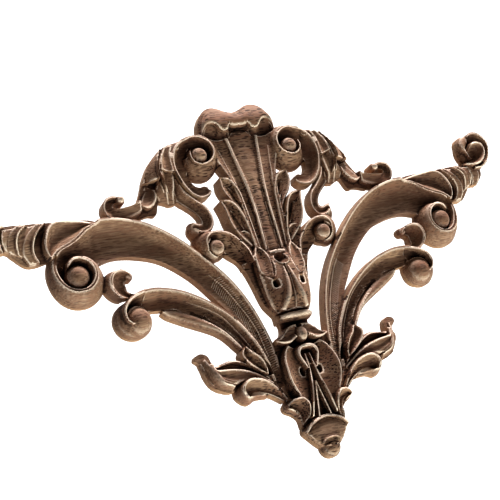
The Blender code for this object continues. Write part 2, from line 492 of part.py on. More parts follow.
def acanthus():
    """The leaf at the foot of the scrolls, with a curled tip and two lower lobes."""
    upper = [(12.6, -92), (17.6, -87.2), (22, -84.0), (25.3, -82.9), (29, -83.5), (31.5, -83.9),
             (31.8, -81.8), (32.5, -79.9), (34.2, -79.0), (36.2, -79.5)]
    lower = [(9.5, -98), (14.5, -93), (20, -91.2), (27.0, -92.5), (30.2, -91.7), (32.4, -90.3), (34.0, -87.9),
             (34.8, -85.3), (34.7, -82.8), (36.6, -80.6)]
    patch(upper, lower, flat([3, 3, 2.8, 2.8, 3.2, 3.2, 2.4]))
    patch([(14, -90.4), (19, -86.2), (24.5, -83.3), (31.0, -84.0)],
          [(14, -92), (19.4, -88.4), (25, -86.4), (31.4, -85.8)],
          cove([3.6, 4.8, 4.8], [2.6, 2.4, 2.6], [2.6, 2.8, 3.0], 0.5, 0.3))
    patch([(13, -92.2), (19, -88.2), (25, -86.2), (31.4, -85.4)],
          [(13.6, -93.8), (20, -90.6), (26.2, -90.2), (30.2, -88.6)],
          hollow([3.6, 5, 6, 6.2], [3.4, 4.4, 5.4, 6.0], [3.2, 4.2, 5.0, 5.4], 0.5, 0.5, 1.4), "set")
    stroke([(24.5, -90.2), (27.2, -90.2), (29.9, -89.2), (31.3, -87.4), (31.9, -85), (32.3, -82.8)],
           [0.7, 1.0, 1.2, 1.0], [4.8, 6.0, 6.2, 4.8], "raise")
    patch([(26.6, -91), (29.8, -89.8), (31.6, -87.4), (32.4, -84.6), (33.4, -81)],
          [(27.4, -92.6), (32.2, -90.5), (34.1, -87.8), (34.8, -84.8), (35.4, -81.6)],
          slope([5.6, 6.2, 5.6, 3.6], 1.5, 1.5))
    patch([(14.4, -89.6), (14.6, -86.6), (16, -83.8), (18, -81.8), (19.5, -79.6)],
          [(14.8, -89.6), (18.0, -87.6), (21, -84.8), (21.9, -82), (20, -79.7)],
          hollow([4.8, 5.6, 5.8, 5], [4.8, 5.8, 5.6], [3.2, 3.4, 3.8], 0.45, 0.5, 1.4), "set")
    stroke([(13.0, -89.6), (13.5, -87.6), (14.6, -84.8)], [1.2, 1.4, 0.8], 1.6, "cut")
    lobe = [(10.3, -98.4), (13, -94.4), (16.3, -91.4), (20, -90.1), (22.6, -90.2), (24.4, -91.6),
            (24.7, -93.4), (23.8, -95.0)]
    patch(lobe, [(11.5, -99.0), (14.6, -96.6), (17.6, -95.0), (19.6, -94.6), (20.8, -94.6), (21.6, -94.8),
                 (22.2, -95.0), (22.8, -95.3)],
          hollow([4.4, 5.4, 6.2, 6.6, 5.6], [3.6, 3.4, 3.4, 3.4], [2.8, 2.8, 3.0, 3.2], 0.5, 0.75, 1.8),
          "set")
    patch([(22.4, -90.2), (24.4, -91.5), (24.8, -93.4), (23.6, -95.2), (20.6, -94.9), (16.6, -95.2)],
          [(24.8, -90.9), (26.4, -92.6), (26.1, -95.0), (23.3, -97.2), (20.2, -96.2), (16.1, -96.4)],
          slope([6.2, 5.8, 3.2], 1.6, 1.4), "raise")
    rim = [(4.9, -105.2), (4.8, -101.9), (6.0, -99.7), (8.0, -98.9), (10.2, -99.3), (11.6, -100.4)]
    patch(rim, [(7.6, -107.4), (7.8, -105), (8.4, -103.2), (9.2, -102.4), (10.2, -101.8), (11.4, -101.2)],
          hollow([5, 7, 7.6, 6.6, 5.6], [3, 3.6, 4], [3, 3, 3.4], 0.6, 0.7, 1.8), "set")
    patch([(9.4, -99.2), (11.3, -100.1), (11.2, -101.2), (9.4, -102.2), (8.2, -104), (7.6, -107.2)],
          [(10.6, -98.8), (12.0, -100.4), (11.7, -102.0), (9.4, -103.5), (8.0, -105.2), (7.8, -108.4)],
          slope([5.4, 4.6, 3], 1.6, 1.6))


def tip_leaf():
    """The leaves on the outer end of the scroll and the curl that ends them."""
    patch([(55, -32.6), (58, -31.4), (63, -30.8), (69.5, -30.5), (74, -30.2), (80, -29.9), (84, -29.8),
           (89, -30.4)],
          [(57, -33), (63, -36.8), (69.5, -40.6), (74.6, -42.6), (79.6, -42.9), (83.2, -39.8),
           (85.2, -37.8), (88.4, -37.9)],
          lambda t, u, w: 3.0 - 1.0 * u**3)
    patch([(86, -32), (88.8, -34.4), (88.0, -37.6)], [(92.6, -31.4), (92.0, -34.2), (89.6, -36.9)], flat(2.0))
    patch([(56, -32.4), (60.5, -31.7), (66, -31.1), (69.8, -31.2), (72.4, -33.2), (74.3, -37.2),
           (74.2, -40.4), (73.2, -42.6)],
          [(57.2, -33.4), (60.4, -35.0), (63.5, -37.3), (66.4, -38.9), (69.4, -40.1), (71.2, -41.2),
           (72.2, -42), (72.9, -42.8)],
          hollow([3, 5, 5.8, 6.6, 6.8, 6.4], [5.2, 5.6, 6.0, 6], [3.4, 3.6, 4.0, 4.4], 0.6, 0.5, 1.6), "set")
    lobes = [
        ([(72.0, -31.0), (75.2, -33.8), (77.0, -37.2), (77.2, -40), (76.0, -42.6)],
         [(75.0, -30.8), (78.6, -33.8), (80.4, -37.0), (80.6, -40.0), (79.2, -42.7)]),
        ([(77.6, -30.8), (80.6, -33.2), (81.8, -36.2), (81.6, -39.6)],
         [(81.0, -30.5), (83.6, -32.8), (84.6, -35.4), (84.6, -38.0)]),
    ]
    for first, second in lobes:
        patch(first, second, hollow([6.0, 6.0, 4.0], [5.4, 5.0, 3.2], [5.2, 4.8, 3.0], 0.5, 0.3, 1.5), "set")
    patch([(85.2, -30.6), (86.2, -33), (86.4, -35.6), (86.0, -37.8)],
          [(89.4, -31.0), (90.6, -33), (90.2, -35.4), (88.2, -37.8)], slope([4.4, 4.2, 3.0], 3.0), "set")
    disc((90.8, -25.2), 6.2, lambda u: 3.6 - 2.0 * u**3)
    patch([(87.6, -31.0), (86.2, -30.4), (84.4, -30.2)], [(88.6, -28.6), (87.8, -28.8), (87.0, -29.0)],
          flat(3.0))
    outer = [(88.4, -20.4), (89.8, -19.1), (92.2, -18.5), (94.8, -19.6), (96.6, -22.4), (96.9, -25),
             (96.0, -28), (94.2, -30.4), (91.4, -32.2), (88.4, -32.4)]
    middle = [(88.4, -23.2), (90.0, -22.6), (91.8, -22.4), (93.4, -23.2), (94.3, -25.2), (93.9, -27.6),
              (92.4, -29.8), (90.4, -31.0), (88.4, -31.4)]
    patch(outer, middle, cove([5.2, 5.6, 5.8, 5.6, 5.2], 2.4, 3, 0.7, 0.5), "set")
    patch([(86.6, -25.4), (88.4, -23.4), (91, -22.5), (93.4, -23.2), (94.3, -25.3), (93.7, -28),
           (91.6, -30.4), (88.4, -31.2), (84.4, -30.6)],
          [(88.0, -26.6), (89.4, -25.8), (90.4, -25.6), (91.0, -25.9), (91.0, -26.6), (90.4, -27.4),
           (89.2, -28.2), (87.4, -28.9), (85.6, -29.4)],
          hollow([6.0, 6.4, 6.6, 6.2, 5.4], 3.2, 3.2, 0.6, 0.95, 1.6), "set")
    disc((90.1, -26.6), 1.2, level(3.1), "set")
    patch([(89.0, -18.9), (86.6, -19.6), (85.2, -21.6), (85.3, -24.0), (86.8, -26.0), (88.0, -28.4)],
          [(89.4, -22.6), (88.8, -23.2), (88.0, -24.2), (87.6, -25.0), (87.9, -26.2), (88.6, -28.2)],
          swell(FLOOR, [4.6, 5.2, 5.0, 4.2], 0.5), "set")


def softened(values, sigma):
    """The grid of heights, blurred over the solid only, and the solid's own blurred share."""
    reach = int(math.ceil(3 * sigma / CELL))
    weights = np.exp(-0.5 * (np.arange(-reach, reach + 1) * CELL / sigma) ** 2)
    weights /= weights.sum()

    def blur(grid):
        grid = np.pad(grid, ((reach, reach), (0, reach)), mode="edge")
        grid = np.concatenate([grid[:, reach:0:-1], grid], axis=1)
        tall = grid.shape[0] - 2 * reach
        wide = grid.shape[1] - 2 * reach
        grid = sum(weights[k] * grid[k : k + tall, :] for k in range(2 * reach + 1))
        return sum(weights[k] * grid[:, k : k + wide] for k in range(2 * reach + 1))

    solid = values > VOID / 2
    share = blur(solid.astype(float))
    return blur(np.where(solid, values, 0)) / np.maximum(share, 1e-9), share


def outline(share):
    """Closed loops, as (x, z), where the solid's share crosses a half; the axis closes them at x = 0."""
    field = np.pad(share, 1)
    field[:, 0] = 0
    near = {}

    def crossing(a, b):
        va, vb = field[a], field[b]
        s = (0.5 - va) / (vb - va)
        i = a[0] + (b[0] - a[0]) * s - 1
        j = a[1] + (b[1] - a[1]) * s - 1
        return (max(0.0, j * CELL), Z_MAX - i * CELL)

    solid = field > 0.5
    mixed = solid[:-1, :-1].astype(int) + solid[1:, :-1] + solid[:-1, 1:] + solid[1:, 1:]
    for i, j in zip(*np.nonzero((mixed > 0) & (mixed < 4))):
        corners = [(i, j), (i, j + 1), (i + 1, j + 1), (i + 1, j)]
        cuts = []
        for k in range(4):
            a, b = corners[k], corners[(k + 1) % 4]
            if solid[a] != solid[b]:
                cuts.append((min(a, b), max(a, b)))
        for k in range(0, len(cuts), 2):
            near.setdefault(cuts[k], []).append(cuts[k + 1])
            near.setdefault(cuts[k + 1], []).append(cuts[k])
    loops = []
    while near:
        start = next(iter(near))
        loop = [start]
        step = near.pop(start)[0]
        while step != start:
            loop.append(step)
            a, b = near.pop(step)
            step = b if a == loop[-2] else a
        loops.append(np.array([crossing(a, b) for a, b in loop]))
    return loops


def thinned(path, error):
    """The points of an open path that keep it within the error of its full shape."""
    keep = {0, len(path) - 1}
    spans = [(0, len(path) - 1)]
    while spans:
        a, b = spans.pop()
        if b - a < 2:
            continue
        chord = path[b] - path[a]
        away = path[a + 1 : b] - path[a]
        off = np.abs(chord[0] * away[:, 1] - chord[1] * away[:, 0]) / max(np.hypot(*chord), 1e-9)
        k = int(off.argmax())
        if off[k] > error or np.hypot(*chord) > OUTLINE_STEP:
            if off[k] <= error:
                k = (b - a) // 2 - 1
            keep.add(a + 1 + k)
            spans += [(a, a + 1 + k), (a + 1 + k, b)]
    return path[sorted(keep)]


def simple_loop(loop, error):
    """A loop with few points: thinned off the axis and evenly spaced on it."""
    on_axis = loop[:, 0] < 1e-9
    if not on_axis.any():
        far = int(np.hypot(*(loop - loop[0]).T).argmax())
        there = thinned(loop[: far + 1], error)[:-1]
        back = thinned(np.vstack([loop[far:], loop[:1]]), error)[:-1]
        return np.vstack([there, back])
    first = next(k for k in range(len(loop)) if on_axis[k] and not on_axis[k - 1])
    loop = np.roll(loop, -first, axis=0)
    on_axis = np.roll(on_axis, -first)
    cuts = [k for k in range(1, len(loop)) if on_axis[k] != on_axis[k - 1]] + [len(loop)]
    parts = []
    start = 0
    for end in cuts:
        if on_axis[start]:
            count = max(1, int(round(length(loop[[start, end - 1]]) / AXIS_STEP)))
            parts.append(loop[start] + (loop[end - 1] - loop[start]) * np.linspace(0, 1, count + 1)[:, None])
        else:
            around = np.vstack([loop, loop[:1]])
            parts.append(thinned(around[start - 1 : end + 1], error)[1:-1])
        start = end
    return np.vstack(parts)


def enclosed(points, loops):
    """Which points lie inside the loops, by the number of edges above each."""
    inside = np.zeros(len(points), bool)
    for loop in loops:
        for a, b in zip(loop, np.roll(loop, -1, axis=0)):
            spans = (a[0] > points[:, 0]) != (b[0] > points[:, 0])
            if spans.any():
                rise = a[1] + (points[:, 0] - a[0]) * (b[1] - a[1]) / (b[0] - a[0] if b[0] != a[0] else 1e-12)
                inside ^= spans & (points[:, 1] < rise)
    return inside


def triangulated(loops, inner):
    """Triangles over the loops' inside, counterclockwise as seen from the front."""
    points = np.vstack(loops + [inner]) if len(inner) else np.vstack(loops)
    edges = []
    start = 0
    for loop in loops:
        count = len(loop)
        edges += [(start + k, start + (k + 1) % count) for k in range(count)]
        start += count
    made = delaunay_2d_cdt([tuple(p) for p in points], edges, [], 0, 1e-6)
    if len(made[0]) != len(points):
        raise ValueError("two outline edges cross")
    found = np.array([made[3][k][0] for k in range(len(points))])
    triangles = found[np.array(made[2])]
    middles = points[triangles].mean(axis=1)
    triangles = triangles[enclosed(middles, loops)]
    a, b, c = (points[triangles[:, k]] for k in range(3))
    turned = (b[:, 0] - a[:, 0]) * (c[:, 1] - a[:, 1]) < (b[:, 1] - a[:, 1]) * (c[:, 0] - a[:, 0])
    triangles[turned] = triangles[turned][:, ::-1]
    return points, triangles


def sampled(grid, points):
    """The grid's values at the points, joined linearly."""
    i = np.clip((Z_MAX - points[:, 1]) / CELL, 0, rows - 1.001)
    j = np.clip(points[:, 0] / CELL, 0, columns - 1.001)
    i0, j0 = i.astype(int), j.astype(int)
    fi, fj = i - i0, j - j0
    top = grid[i0, j0] * (1 - fj) + grid[i0, j0 + 1] * fj
    low = grid[i0 + 1, j0] * (1 - fj) + grid[i0 + 1, j0 + 1] * fj
    return top * (1 - fi) + low * fi


def worst_points(points, triangles, heights, share):
    """For each triangle, the grid point where the carved surface is farthest from it."""
    levels = sampled(heights, points)
    found = []
    for corners in triangles:
        p = points[corners]
        x0, z0 = p.min(axis=0)
        x1, z1 = p.max(axis=0)
        j = np.arange(int(x0 / CELL), int(x1 / CELL) + 2, 2)
        i = np.arange(int((Z_MAX - z1) / CELL), int((Z_MAX - z0) / CELL) + 2, 2)
        if len(i) * len(j) < 4:
            continue
        x, z = np.meshgrid(j * CELL, Z_MAX - i * CELL)
        e1, e2 = p[1] - p[0], p[2] - p[0]
        whole = e1[0] * e2[1] - e1[1] * e2[0]
        dx, dz = x - p[0, 0], z - p[0, 1]
        u = (dx * e2[1] - dz * e2[0]) / whole
        v = (e1[0] * dz - e1[1] * dx) / whole
        ours = (u > 0) & (v > 0) & (u + v < 1)
        if not ours.any():
            continue
        i, j = (g[ours] for g in np.meshgrid(i, j, indexing="ij"))
        h = levels[corners]
        off = np.abs(heights[i, j] - (h[0] + (h[1] - h[0]) * u[ours] + (h[2] - h[0]) * v[ours]))
        off[share[i, j] < 0.97] = 0
        k = off.argmax()
        found.append((off[k], j[k] * CELL, Z_MAX - i[k] * CELL))
    return sorted(found, reverse=True)


def fitted(loops, heights, share):
    """Inner points added where the flat triangles miss the carved surface most."""
    x, z = np.meshgrid(np.arange(1.5, X_MAX, 3.2), np.arange(Z_MIN, Z_MAX, 3.2))
    inner = np.stack([x.ravel(), z.ravel()], axis=1)
    inner = inner[sampled(share, inner) > 0.98]
    for step in range(ROUNDS):
        points, triangles = triangulated(loops, inner)
        room = int((INNER_POINTS - len(inner)) / (ROUNDS - step))
        added = []
        for error, px, pz in worst_points(points, triangles, heights, share):
            if len(added) >= room or error < 0.05:
                break
            others = np.vstack([points, added]) if added else points
            if np.hypot(others[:, 0] - px, others[:, 1] - pz).min() > POINT_GAP:
                added.append((px, pz))
        inner = np.vstack([inner, added]) if added else inner
    return inner


def closed_mesh(loops, inner, heights):
    """The whole solid: the carved front, walls round every loop, a flat back, and both halves joined."""
    points, front = triangulated(loops, inner)
    back = triangulated(loops, [])[1]
    h = np.maximum(sampled(heights, points), 1.0)
    rim_count = sum(len(loop) for loop in loops)
    x = points[:, 0] * SCALE
    z = (points[:, 1] - ORIGIN_Z) * SCALE
    right = np.stack([x, -h * SCALE, z], axis=1)
    behind = np.stack([x, 0 * x, z], axis=1)[:rim_count]
    count = len(right)
    edges = np.concatenate([front[:, [0, 1]], front[:, [1, 2]], front[:, [2, 0]]])
    known = {tuple(e) for e in edges}
    open_edges = [e for e in known if (e[1], e[0]) not in known]
    rim_edges = [e for e in open_edges if max(points[e[0], 0], points[e[1], 0]) > 1e-9]
    walls = [(a, a + count, b + count, b) for a, b in rim_edges]
    faces = [tuple(f) for f in front] + [tuple(f[::-1] + count) for f in back] + walls
    spots = np.vstack([right, behind])
    mirrored = np.arange(len(spots))
    off_axis = spots[:, 0] > 1e-12
    mirrored[off_axis] = len(spots) + np.arange(off_axis.sum())
    left = spots[off_axis] * (-1, 1, 1)
    faces += [tuple(int(mirrored[k]) for k in f[::-1]) for f in faces]
    return np.vstack([spots, left]), [tuple(int(k) for k in f) for f in faces]


# In the order that they overlap, from the lowest layer up
FEATURES = (big_arch, lower_arch, side_hook, inner_stem, side_volute, plume, upper_scroll, shoulder_leaves,
            heart, calyx, acanthus, cup, tip_leaf)


def build():
    for item in list(bpy.data.objects):
        bpy.data.objects.remove(item)
    for feature in FEATURES:
        feature()
    heights, share = softened(height, SOFTNESS)
    traced = outline(softened(height, OUTLINE_SOFTNESS)[1])
    loops = [simple_loop(loop, OUTLINE_ERROR) for loop in traced if length(loop) > SMALLEST_HOLE]
    spots, faces = closed_mesh(loops, fitted(loops, heights, share), heights)
    mesh = bpy.data.meshes.new("applique")
    mesh.from_pydata(spots.tolist(), [], faces)
    work = bmesh.new()
    work.from_mesh(mesh)
    bmesh.ops.triangulate(work, faces=[f for f in work.faces if len(f.verts) > 3])
    work.to_mesh(mesh)
    work.free()
    wood = bpy.data.materials.new("carved_wood")
    wood.use_nodes = True
    shader = wood.node_tree.nodes["Principled BSDF"]
    shader.inputs["Base Color"].default_value = WOOD_COLOR
    shader.inputs["Roughness"].default_value = WOOD_ROUGHNESS
    mesh.materials.append(wood)
    mesh.shade_smooth()
    mesh.set_sharp_from_angle(angle=math.radians(40))
    applique = bpy.data.objects.new("applique", mesh)
    bpy.context.scene.collection.objects.link(applique)
    print("triangles", len(mesh.polygons), "loops", [len(loop) for loop in loops])


build()
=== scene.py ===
"""The looks of a carved wood applique: an openwork relief with a flat back, cut from one raw board.

The plan is in millimetres: x is the distance from the axis of symmetry, z is up with 0 at the dip of
the plume, and h is the height over the flat back. The front faces -Y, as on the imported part.
"""

import math

import bpy
import numpy as np
from mathutils import Matrix, Vector
from mathutils.geometry import delaunay_2d_cdt


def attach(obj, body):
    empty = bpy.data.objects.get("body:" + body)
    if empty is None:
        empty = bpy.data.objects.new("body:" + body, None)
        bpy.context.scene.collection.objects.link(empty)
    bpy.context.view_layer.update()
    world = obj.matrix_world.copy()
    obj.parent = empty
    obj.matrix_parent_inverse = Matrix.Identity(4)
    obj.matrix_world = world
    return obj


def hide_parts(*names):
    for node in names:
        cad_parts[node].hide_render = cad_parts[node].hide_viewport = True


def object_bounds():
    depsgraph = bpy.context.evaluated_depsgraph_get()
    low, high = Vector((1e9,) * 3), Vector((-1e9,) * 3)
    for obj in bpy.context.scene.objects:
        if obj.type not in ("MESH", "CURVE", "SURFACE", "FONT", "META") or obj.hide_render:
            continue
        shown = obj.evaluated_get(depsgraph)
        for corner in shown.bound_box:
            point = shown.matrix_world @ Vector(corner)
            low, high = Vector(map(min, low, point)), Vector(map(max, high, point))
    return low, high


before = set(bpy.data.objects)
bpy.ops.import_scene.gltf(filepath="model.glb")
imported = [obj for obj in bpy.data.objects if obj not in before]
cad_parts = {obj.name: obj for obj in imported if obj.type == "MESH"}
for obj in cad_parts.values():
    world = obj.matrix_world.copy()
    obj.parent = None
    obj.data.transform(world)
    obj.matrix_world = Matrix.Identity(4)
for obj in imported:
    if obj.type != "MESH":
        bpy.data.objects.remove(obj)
solid_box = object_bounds()

# The board: one piece of pale hardwood about 11 mm thick, sawn flat at the back. The ornament is cut
# into it with a small round-nosed cutter, one half mirrored, so all its forms are heights over the back.
CELL = 0.1
X_MAX = 101.0
Z_MIN = -121.0
Z_MAX = 4.0
VOID = -1.0e6
columns = int(round(X_MAX / CELL)) + 1
rows = int(round((Z_MAX - Z_MIN) / CELL)) + 1
height = np.full((rows, columns), VOID)


def put(x, z, h, mode):
    """Lays heights on the grid: raised to them, set to them, cut down to them or changed by them."""
    i = np.rint((Z_MAX - z) / CELL).astype(int).ravel()
    j = np.rint(np.abs(x) / CELL).astype(int).ravel()
    h = np.broadcast_to(h, x.shape).ravel()
    inside = (i >= 0) & (i < rows) & (j < columns)
    i = i[inside]
    j = j[inside]
    h = h[inside]
    top, left = i.min(), j.min()
    layer = np.full((i.max() + 1 - top, j.max() + 1 - left), VOID)
    if mode == "groove":
        np.maximum.at(layer, (i - top, j - left), -h)
    else:
        np.maximum.at(layer, (i - top, j - left), h)
    area = height[top : top + layer.shape[0], left : left + layer.shape[1]]
    seen = layer > VOID / 2
    solid = area > VOID / 2
    if mode == "raise":
        new = np.maximum(area, layer)
    elif mode == "set":
        new = layer
    elif mode == "cut":
        new = np.minimum(area, layer)
        seen &= solid
    elif mode == "groove":
        new = area - layer
        seen &= solid
    else:
        new = area + layer
        seen &= solid
    area[seen] = new[seen]


# The main scroll on each side: a broad stem that rises from the foot in an arch, coved like a gutter
# between a raised outer rim and a thin inner edge, and rolls up round a ball at its end.

# Heights over the back of an outer wall's foot, a trough's floor, its thin inner edge and its rim, then
# the width of a broad rim and the distance between samples on the grid.
EDGE = 1.5
FLOOR = 2.0
LOW = 3.2
RIM = 5.6
BROAD_RIM = 0.7
SAMPLING = 0.6 * CELL


def curve(points, count):
    """A smooth curve through the points, as evenly spaced samples."""
    given = np.array(points, float)
    ends = np.vstack([2 * given[0] - given[1], given, 2 * given[-1] - given[-2]])
    s = np.linspace(0, 1, 40, endpoint=False)[:, None]
    pieces = []
    for i in range(1, len(ends) - 2):
        a, b, c, d = ends[i - 1 : i + 3]
        cubic = 3 * (b - c) + d - a
        pieces.append(b + 0.5 * s * (c - a + s * (2 * a - 5 * b + 4 * c - d + s * cubic)))
    pieces.append(given[-1:])
    path = np.vstack(pieces)
    along = np.concatenate([[0], np.cumsum(np.hypot(*np.diff(path, axis=0).T))])
    at = np.linspace(0, along[-1], count)
    return np.stack([np.interp(at, along, path[:, k]) for k in (0, 1)], axis=1)


def length(path):
    """The length of a path."""
    return np.hypot(*np.diff(path, axis=0).T).sum()


def vary(value, t):
    """A value along a feature: one number, or several spread evenly and joined smoothly."""
    value = np.atleast_1d(np.array(value, float))
    if len(value) < 3:
        return np.interp(t, np.linspace(0, 1, len(value)), value)
    ends = np.concatenate([[2 * value[0] - value[1]], value, [2 * value[-1] - value[-2]]])
    place = np.clip(t, 0, 1) * (len(value) - 1)
    i = np.minimum(place.astype(int), len(value) - 2)
    s = place - i
    a, b, c, d = ends[i], ends[i + 1], ends[i + 2], ends[i + 3]
    return b + 0.5 * s * (c - a + s * (2 * a - 5 * b + 4 * c - d + s * (3 * (b - c) + d - a)))


def patch(first, second, form, mode="raise"):
    """A patch ruled between two curves; form gives its height from t along, u across and the width w."""
    a = curve(first, 300)
    b = curve(second, 300)
    n = max(8, int(max(length(a), length(b)) / SAMPLING))
    m = max(6, int(np.hypot(*(b - a).T).max() / SAMPLING))
    a = curve(first, n)
    b = curve(second, n)
    t, u = np.meshgrid(np.linspace(0, 1, n), np.linspace(0, 1, m), indexing="ij")
    x = a[:, :1] + (b[:, :1] - a[:, :1]) * u
    z = a[:, 1:] + (b[:, 1:] - a[:, 1:]) * u
    w = np.broadcast_to(np.hypot(*(b - a).T)[:, None], x.shape)
    put(x, z, form(t, u, w), mode)


def spiral(center, start, end, radii, count=40):
    """Points on a spiral, from one angle to another in degrees, with radii spread evenly along it."""
    t = np.linspace(0, 1, count)
    angle = np.radians(start + (end - start) * t)
    radius = vary(radii, t)
    return np.stack([center[0] + radius * np.cos(angle), center[1] + radius * np.sin(angle)], axis=1)


def beside(points, widths, count=48):
    """A curve at a varying distance to the right of another one, or to its left where negative."""
    path = curve(points, count)
    way = np.gradient(path, axis=0)
    way /= np.hypot(*way.T)[:, None]
    reach = vary(widths, np.linspace(0, 1, count))[:, None]
    return path + reach * np.stack([way[:, 1], -way[:, 0]], axis=1)


def band(points, widths, form, mode="raise"):
    """A patch that starts on a curve and reaches a varying width to its right."""
    patch(points, beside(points, widths), form, mode)


def disc(center, radius, form, mode="raise", tall=None):
    """A round or oval patch; form gives its height from u, 0 at the middle and 1 at the edge."""
    tall = tall or radius
    n = max(20, int(2 * math.pi * max(radius, tall) / SAMPLING))
    m = max(5, int(max(radius, tall) / SAMPLING))
    angle, u = np.meshgrid(np.linspace(0, 2 * math.pi, n), np.linspace(0, 1, m), indexing="ij")
    put(center[0] + radius * u * np.cos(angle), center[1] + tall * u * np.sin(angle), form(u), mode)


def cove(rim, floor, far, edge=BROAD_RIM, deep=0.4):
    """A trough: a raised rim along the first curve, deepest near it, rising gently to the second."""

    def form(t, u, w):
        r, f, e = vary(rim, t), vary(floor, t), vary(far, t)
        d = u * w
        fall = np.clip((d - edge) / np.maximum(w * deep, 1e-6), 0, 1)
        rise = np.clip((d - edge - w * deep) / np.maximum(w * (1 - deep) - edge, 1e-6), 0, 1)
        h = f + (r - f) * (1 - fall) ** 2.2 + (e - f) * rise ** 1.6
        return np.where(d < edge, r - 0.35 * (1 - d / edge) ** 2, h)

    return form


def slope(top, foot, power=1.7):
    """A rounded slope from the first curve down to the second."""
    return lambda t, u, w: vary(top, t) - (vary(top, t) - vary(foot, t)) * u**power


def dome(foot, top, power=0.5):
    """A ball or a boss."""
    return lambda u: foot + (top - foot) * (1 - u * u).clip(0, 1) ** power


def level(value):
    """A level disc."""
    return lambda u: value + 0 * u


rim = [(9.0, -94), (9.4, -86), (10.3, -78), (13.4, -66.8), (18.3, -57.2), (25.9, -47.9), (33.1, -40.9),
       (41.4, -35.3), (49.4, -32.6), (55.6, -32.2), (60.0, -34.2), (63.4, -36.8), (66.6, -38.6),
       (69.6, -39.8), (71.6, -41.4)]
inner = [(12.2, -94), (14.0, -86), (17.2, -76), (20.2, -69.5), (23.7, -63.9), (30.2, -55), (38.3, -48.2),
         (46.5, -45.3), (53, -44.6), (57.5, -45.5), (60.2, -46.4), (62.2, -44.6), (65, -43.8),
         (67.6, -44.2), (69.6, -45.6)]
floor = [2.4, 2.4, FLOOR, FLOOR, 1.9, 1.9]
patch(rim, inner, cove([3.4, 4.0, 4.4, 5.0, RIM, 5.8, 6, 6], floor, [3, LOW, LOW, LOW, 3.6]))
middle = (66.1, -48.8)
eye = (66.1, -49.2)
rims = [5.6, 5.6, 6.4, 7.0, 7.2, 7.0, 6.8]
volute = spiral(middle, 53, -338, [9.2, 6.4, 5.5, 5.3, 5.3, 5.5, 5.5, 3.6])
disc((66.0, -49.6), 7.4, level(FLOOR))
band(volute[:31], [-0.8, -1.6, -2.7, -4.0, -4.0, -3.1, -1.2], slope(rims, [EDGE, 1.2]))
turn = spiral(eye, 42, -332, [4.6, 3.7, 3.3, 3.3, 3.3, 3.1, 2.6])
patch(volute[2:], turn, cove(rims, FLOOR, FLOOR, 0.9, 0.5), "set")
disc((66.2, -49.2), 4.0, dome(2.4, 7.7), "set")


# The second scroll under it, coved the same way, ends on a full ball with a bright hooked rim.
# A long plain lobe lies along its lower side.
def swell(edge, top, power=0.6):
    """A rounded rib between its two edges."""

    def form(t, u, w):
        return vary(edge, t) + (vary(top, t) - vary(edge, t)) * (1 - (2 * u - 1) ** 2).clip(0, 1) ** power

    return form


def stroke(points, width, amount, mode="add"):
    """A rounded ridge or groove of a varying width along a curve."""
    n = max(8, int(length(curve(points, 200)) / SAMPLING))
    t = np.linspace(0, 1, n)
    half = vary(width, t) / 2
    path = curve(points, n)
    way = np.gradient(path, axis=0)
    way /= np.hypot(*way.T)[:, None] + 1e-9
    u = np.linspace(-1, 1, max(5, int(2 * half.max() / (0.5 * CELL))))
    x = path[:, :1] + way[:, 1:] * half[:, None] * u
    z = path[:, 1:] - way[:, :1] * half[:, None] * u
    size = vary(amount, t)[:, None]
    if mode == "raise":
        put(x, z, size - 0.5 * u * u, mode)
    else:
        put(x, z, size * np.cos(u * math.pi / 2), mode)


rim = [(11.9, -92), (12.6, -86), (15.0, -78.5), (20, -70.4), (26.6, -64.1), (34.4, -59.2), (41.8, -56.9),
       (47, -56.7), (50.6, -57.9), (53.4, -60.2)]
inner = [(14.0, -92), (16.0, -86), (20.0, -79), (24.5, -72.5), (31, -67.3), (38, -64.1), (44, -63.3),
         (47.2, -63), (49.0, -62.2), (50.6, -61.4)]
floor = [2.2, FLOOR, FLOOR, 2.2, 3]
patch(rim, inner, cove([3.4, 4, 4.8, 5.2, 5.8, 6.4], floor, [LOW, LOW, 3, 3.4], 0.9, 0.45))
disc((52.3, -64.8), 5.9, dome(1.4, 6.2, 0.55))
hook = [(47, -56.8), (51.2, -58.1), (54.5, -60.4), (55.7, -63.0), (55.3, -65.3), (54.0, -66.6),
        (52.6, -66.8)]
turn = spiral((51.2, -65.4), 122, -46, [4.6, 4.4, 3.8, 3.0])
lifted = [6.1, 6.8, 7.6, 7.6, 7.2, 6.4]
patch(hook, turn, cove(lifted, [3, 2.6, 3.0, 5.0], [3.4, 3, 5.0], 0.8, 0.45), "set")
disc((51.2, -65.7), 4.7, dome(1.6, 7.8, 0.5))
stroke(hook, 0.6, [6.0, 6.6, 7.4, 7.7, 7.6, 7.0], "raise")
stroke([(12, -84), (13.5, -75), (16, -68), (20, -60), (24, -54.5)], 0.6, [0.2, 0.5, 0.5, 0.2])
stroke([(15, -85), (18.2, -77.5), (23, -70), (28, -65.6), (34, -62)], 0.6, [0.2, 0.5, 0.5, 0.2])
upper = [(16.6, -86), (20.5, -79.0), (25, -72.8), (31.5, -67.4), (38, -64.2), (42.0, -63.4)]
lower = [(18.4, -85), (22.2, -79.2), (26.8, -74), (35.7, -69.2), (41, -66.2), (43.0, -64.3)]
patch(upper, lower, swell([2.2, 1.8], [3.2, 4.4, 4.4, 3.8]))

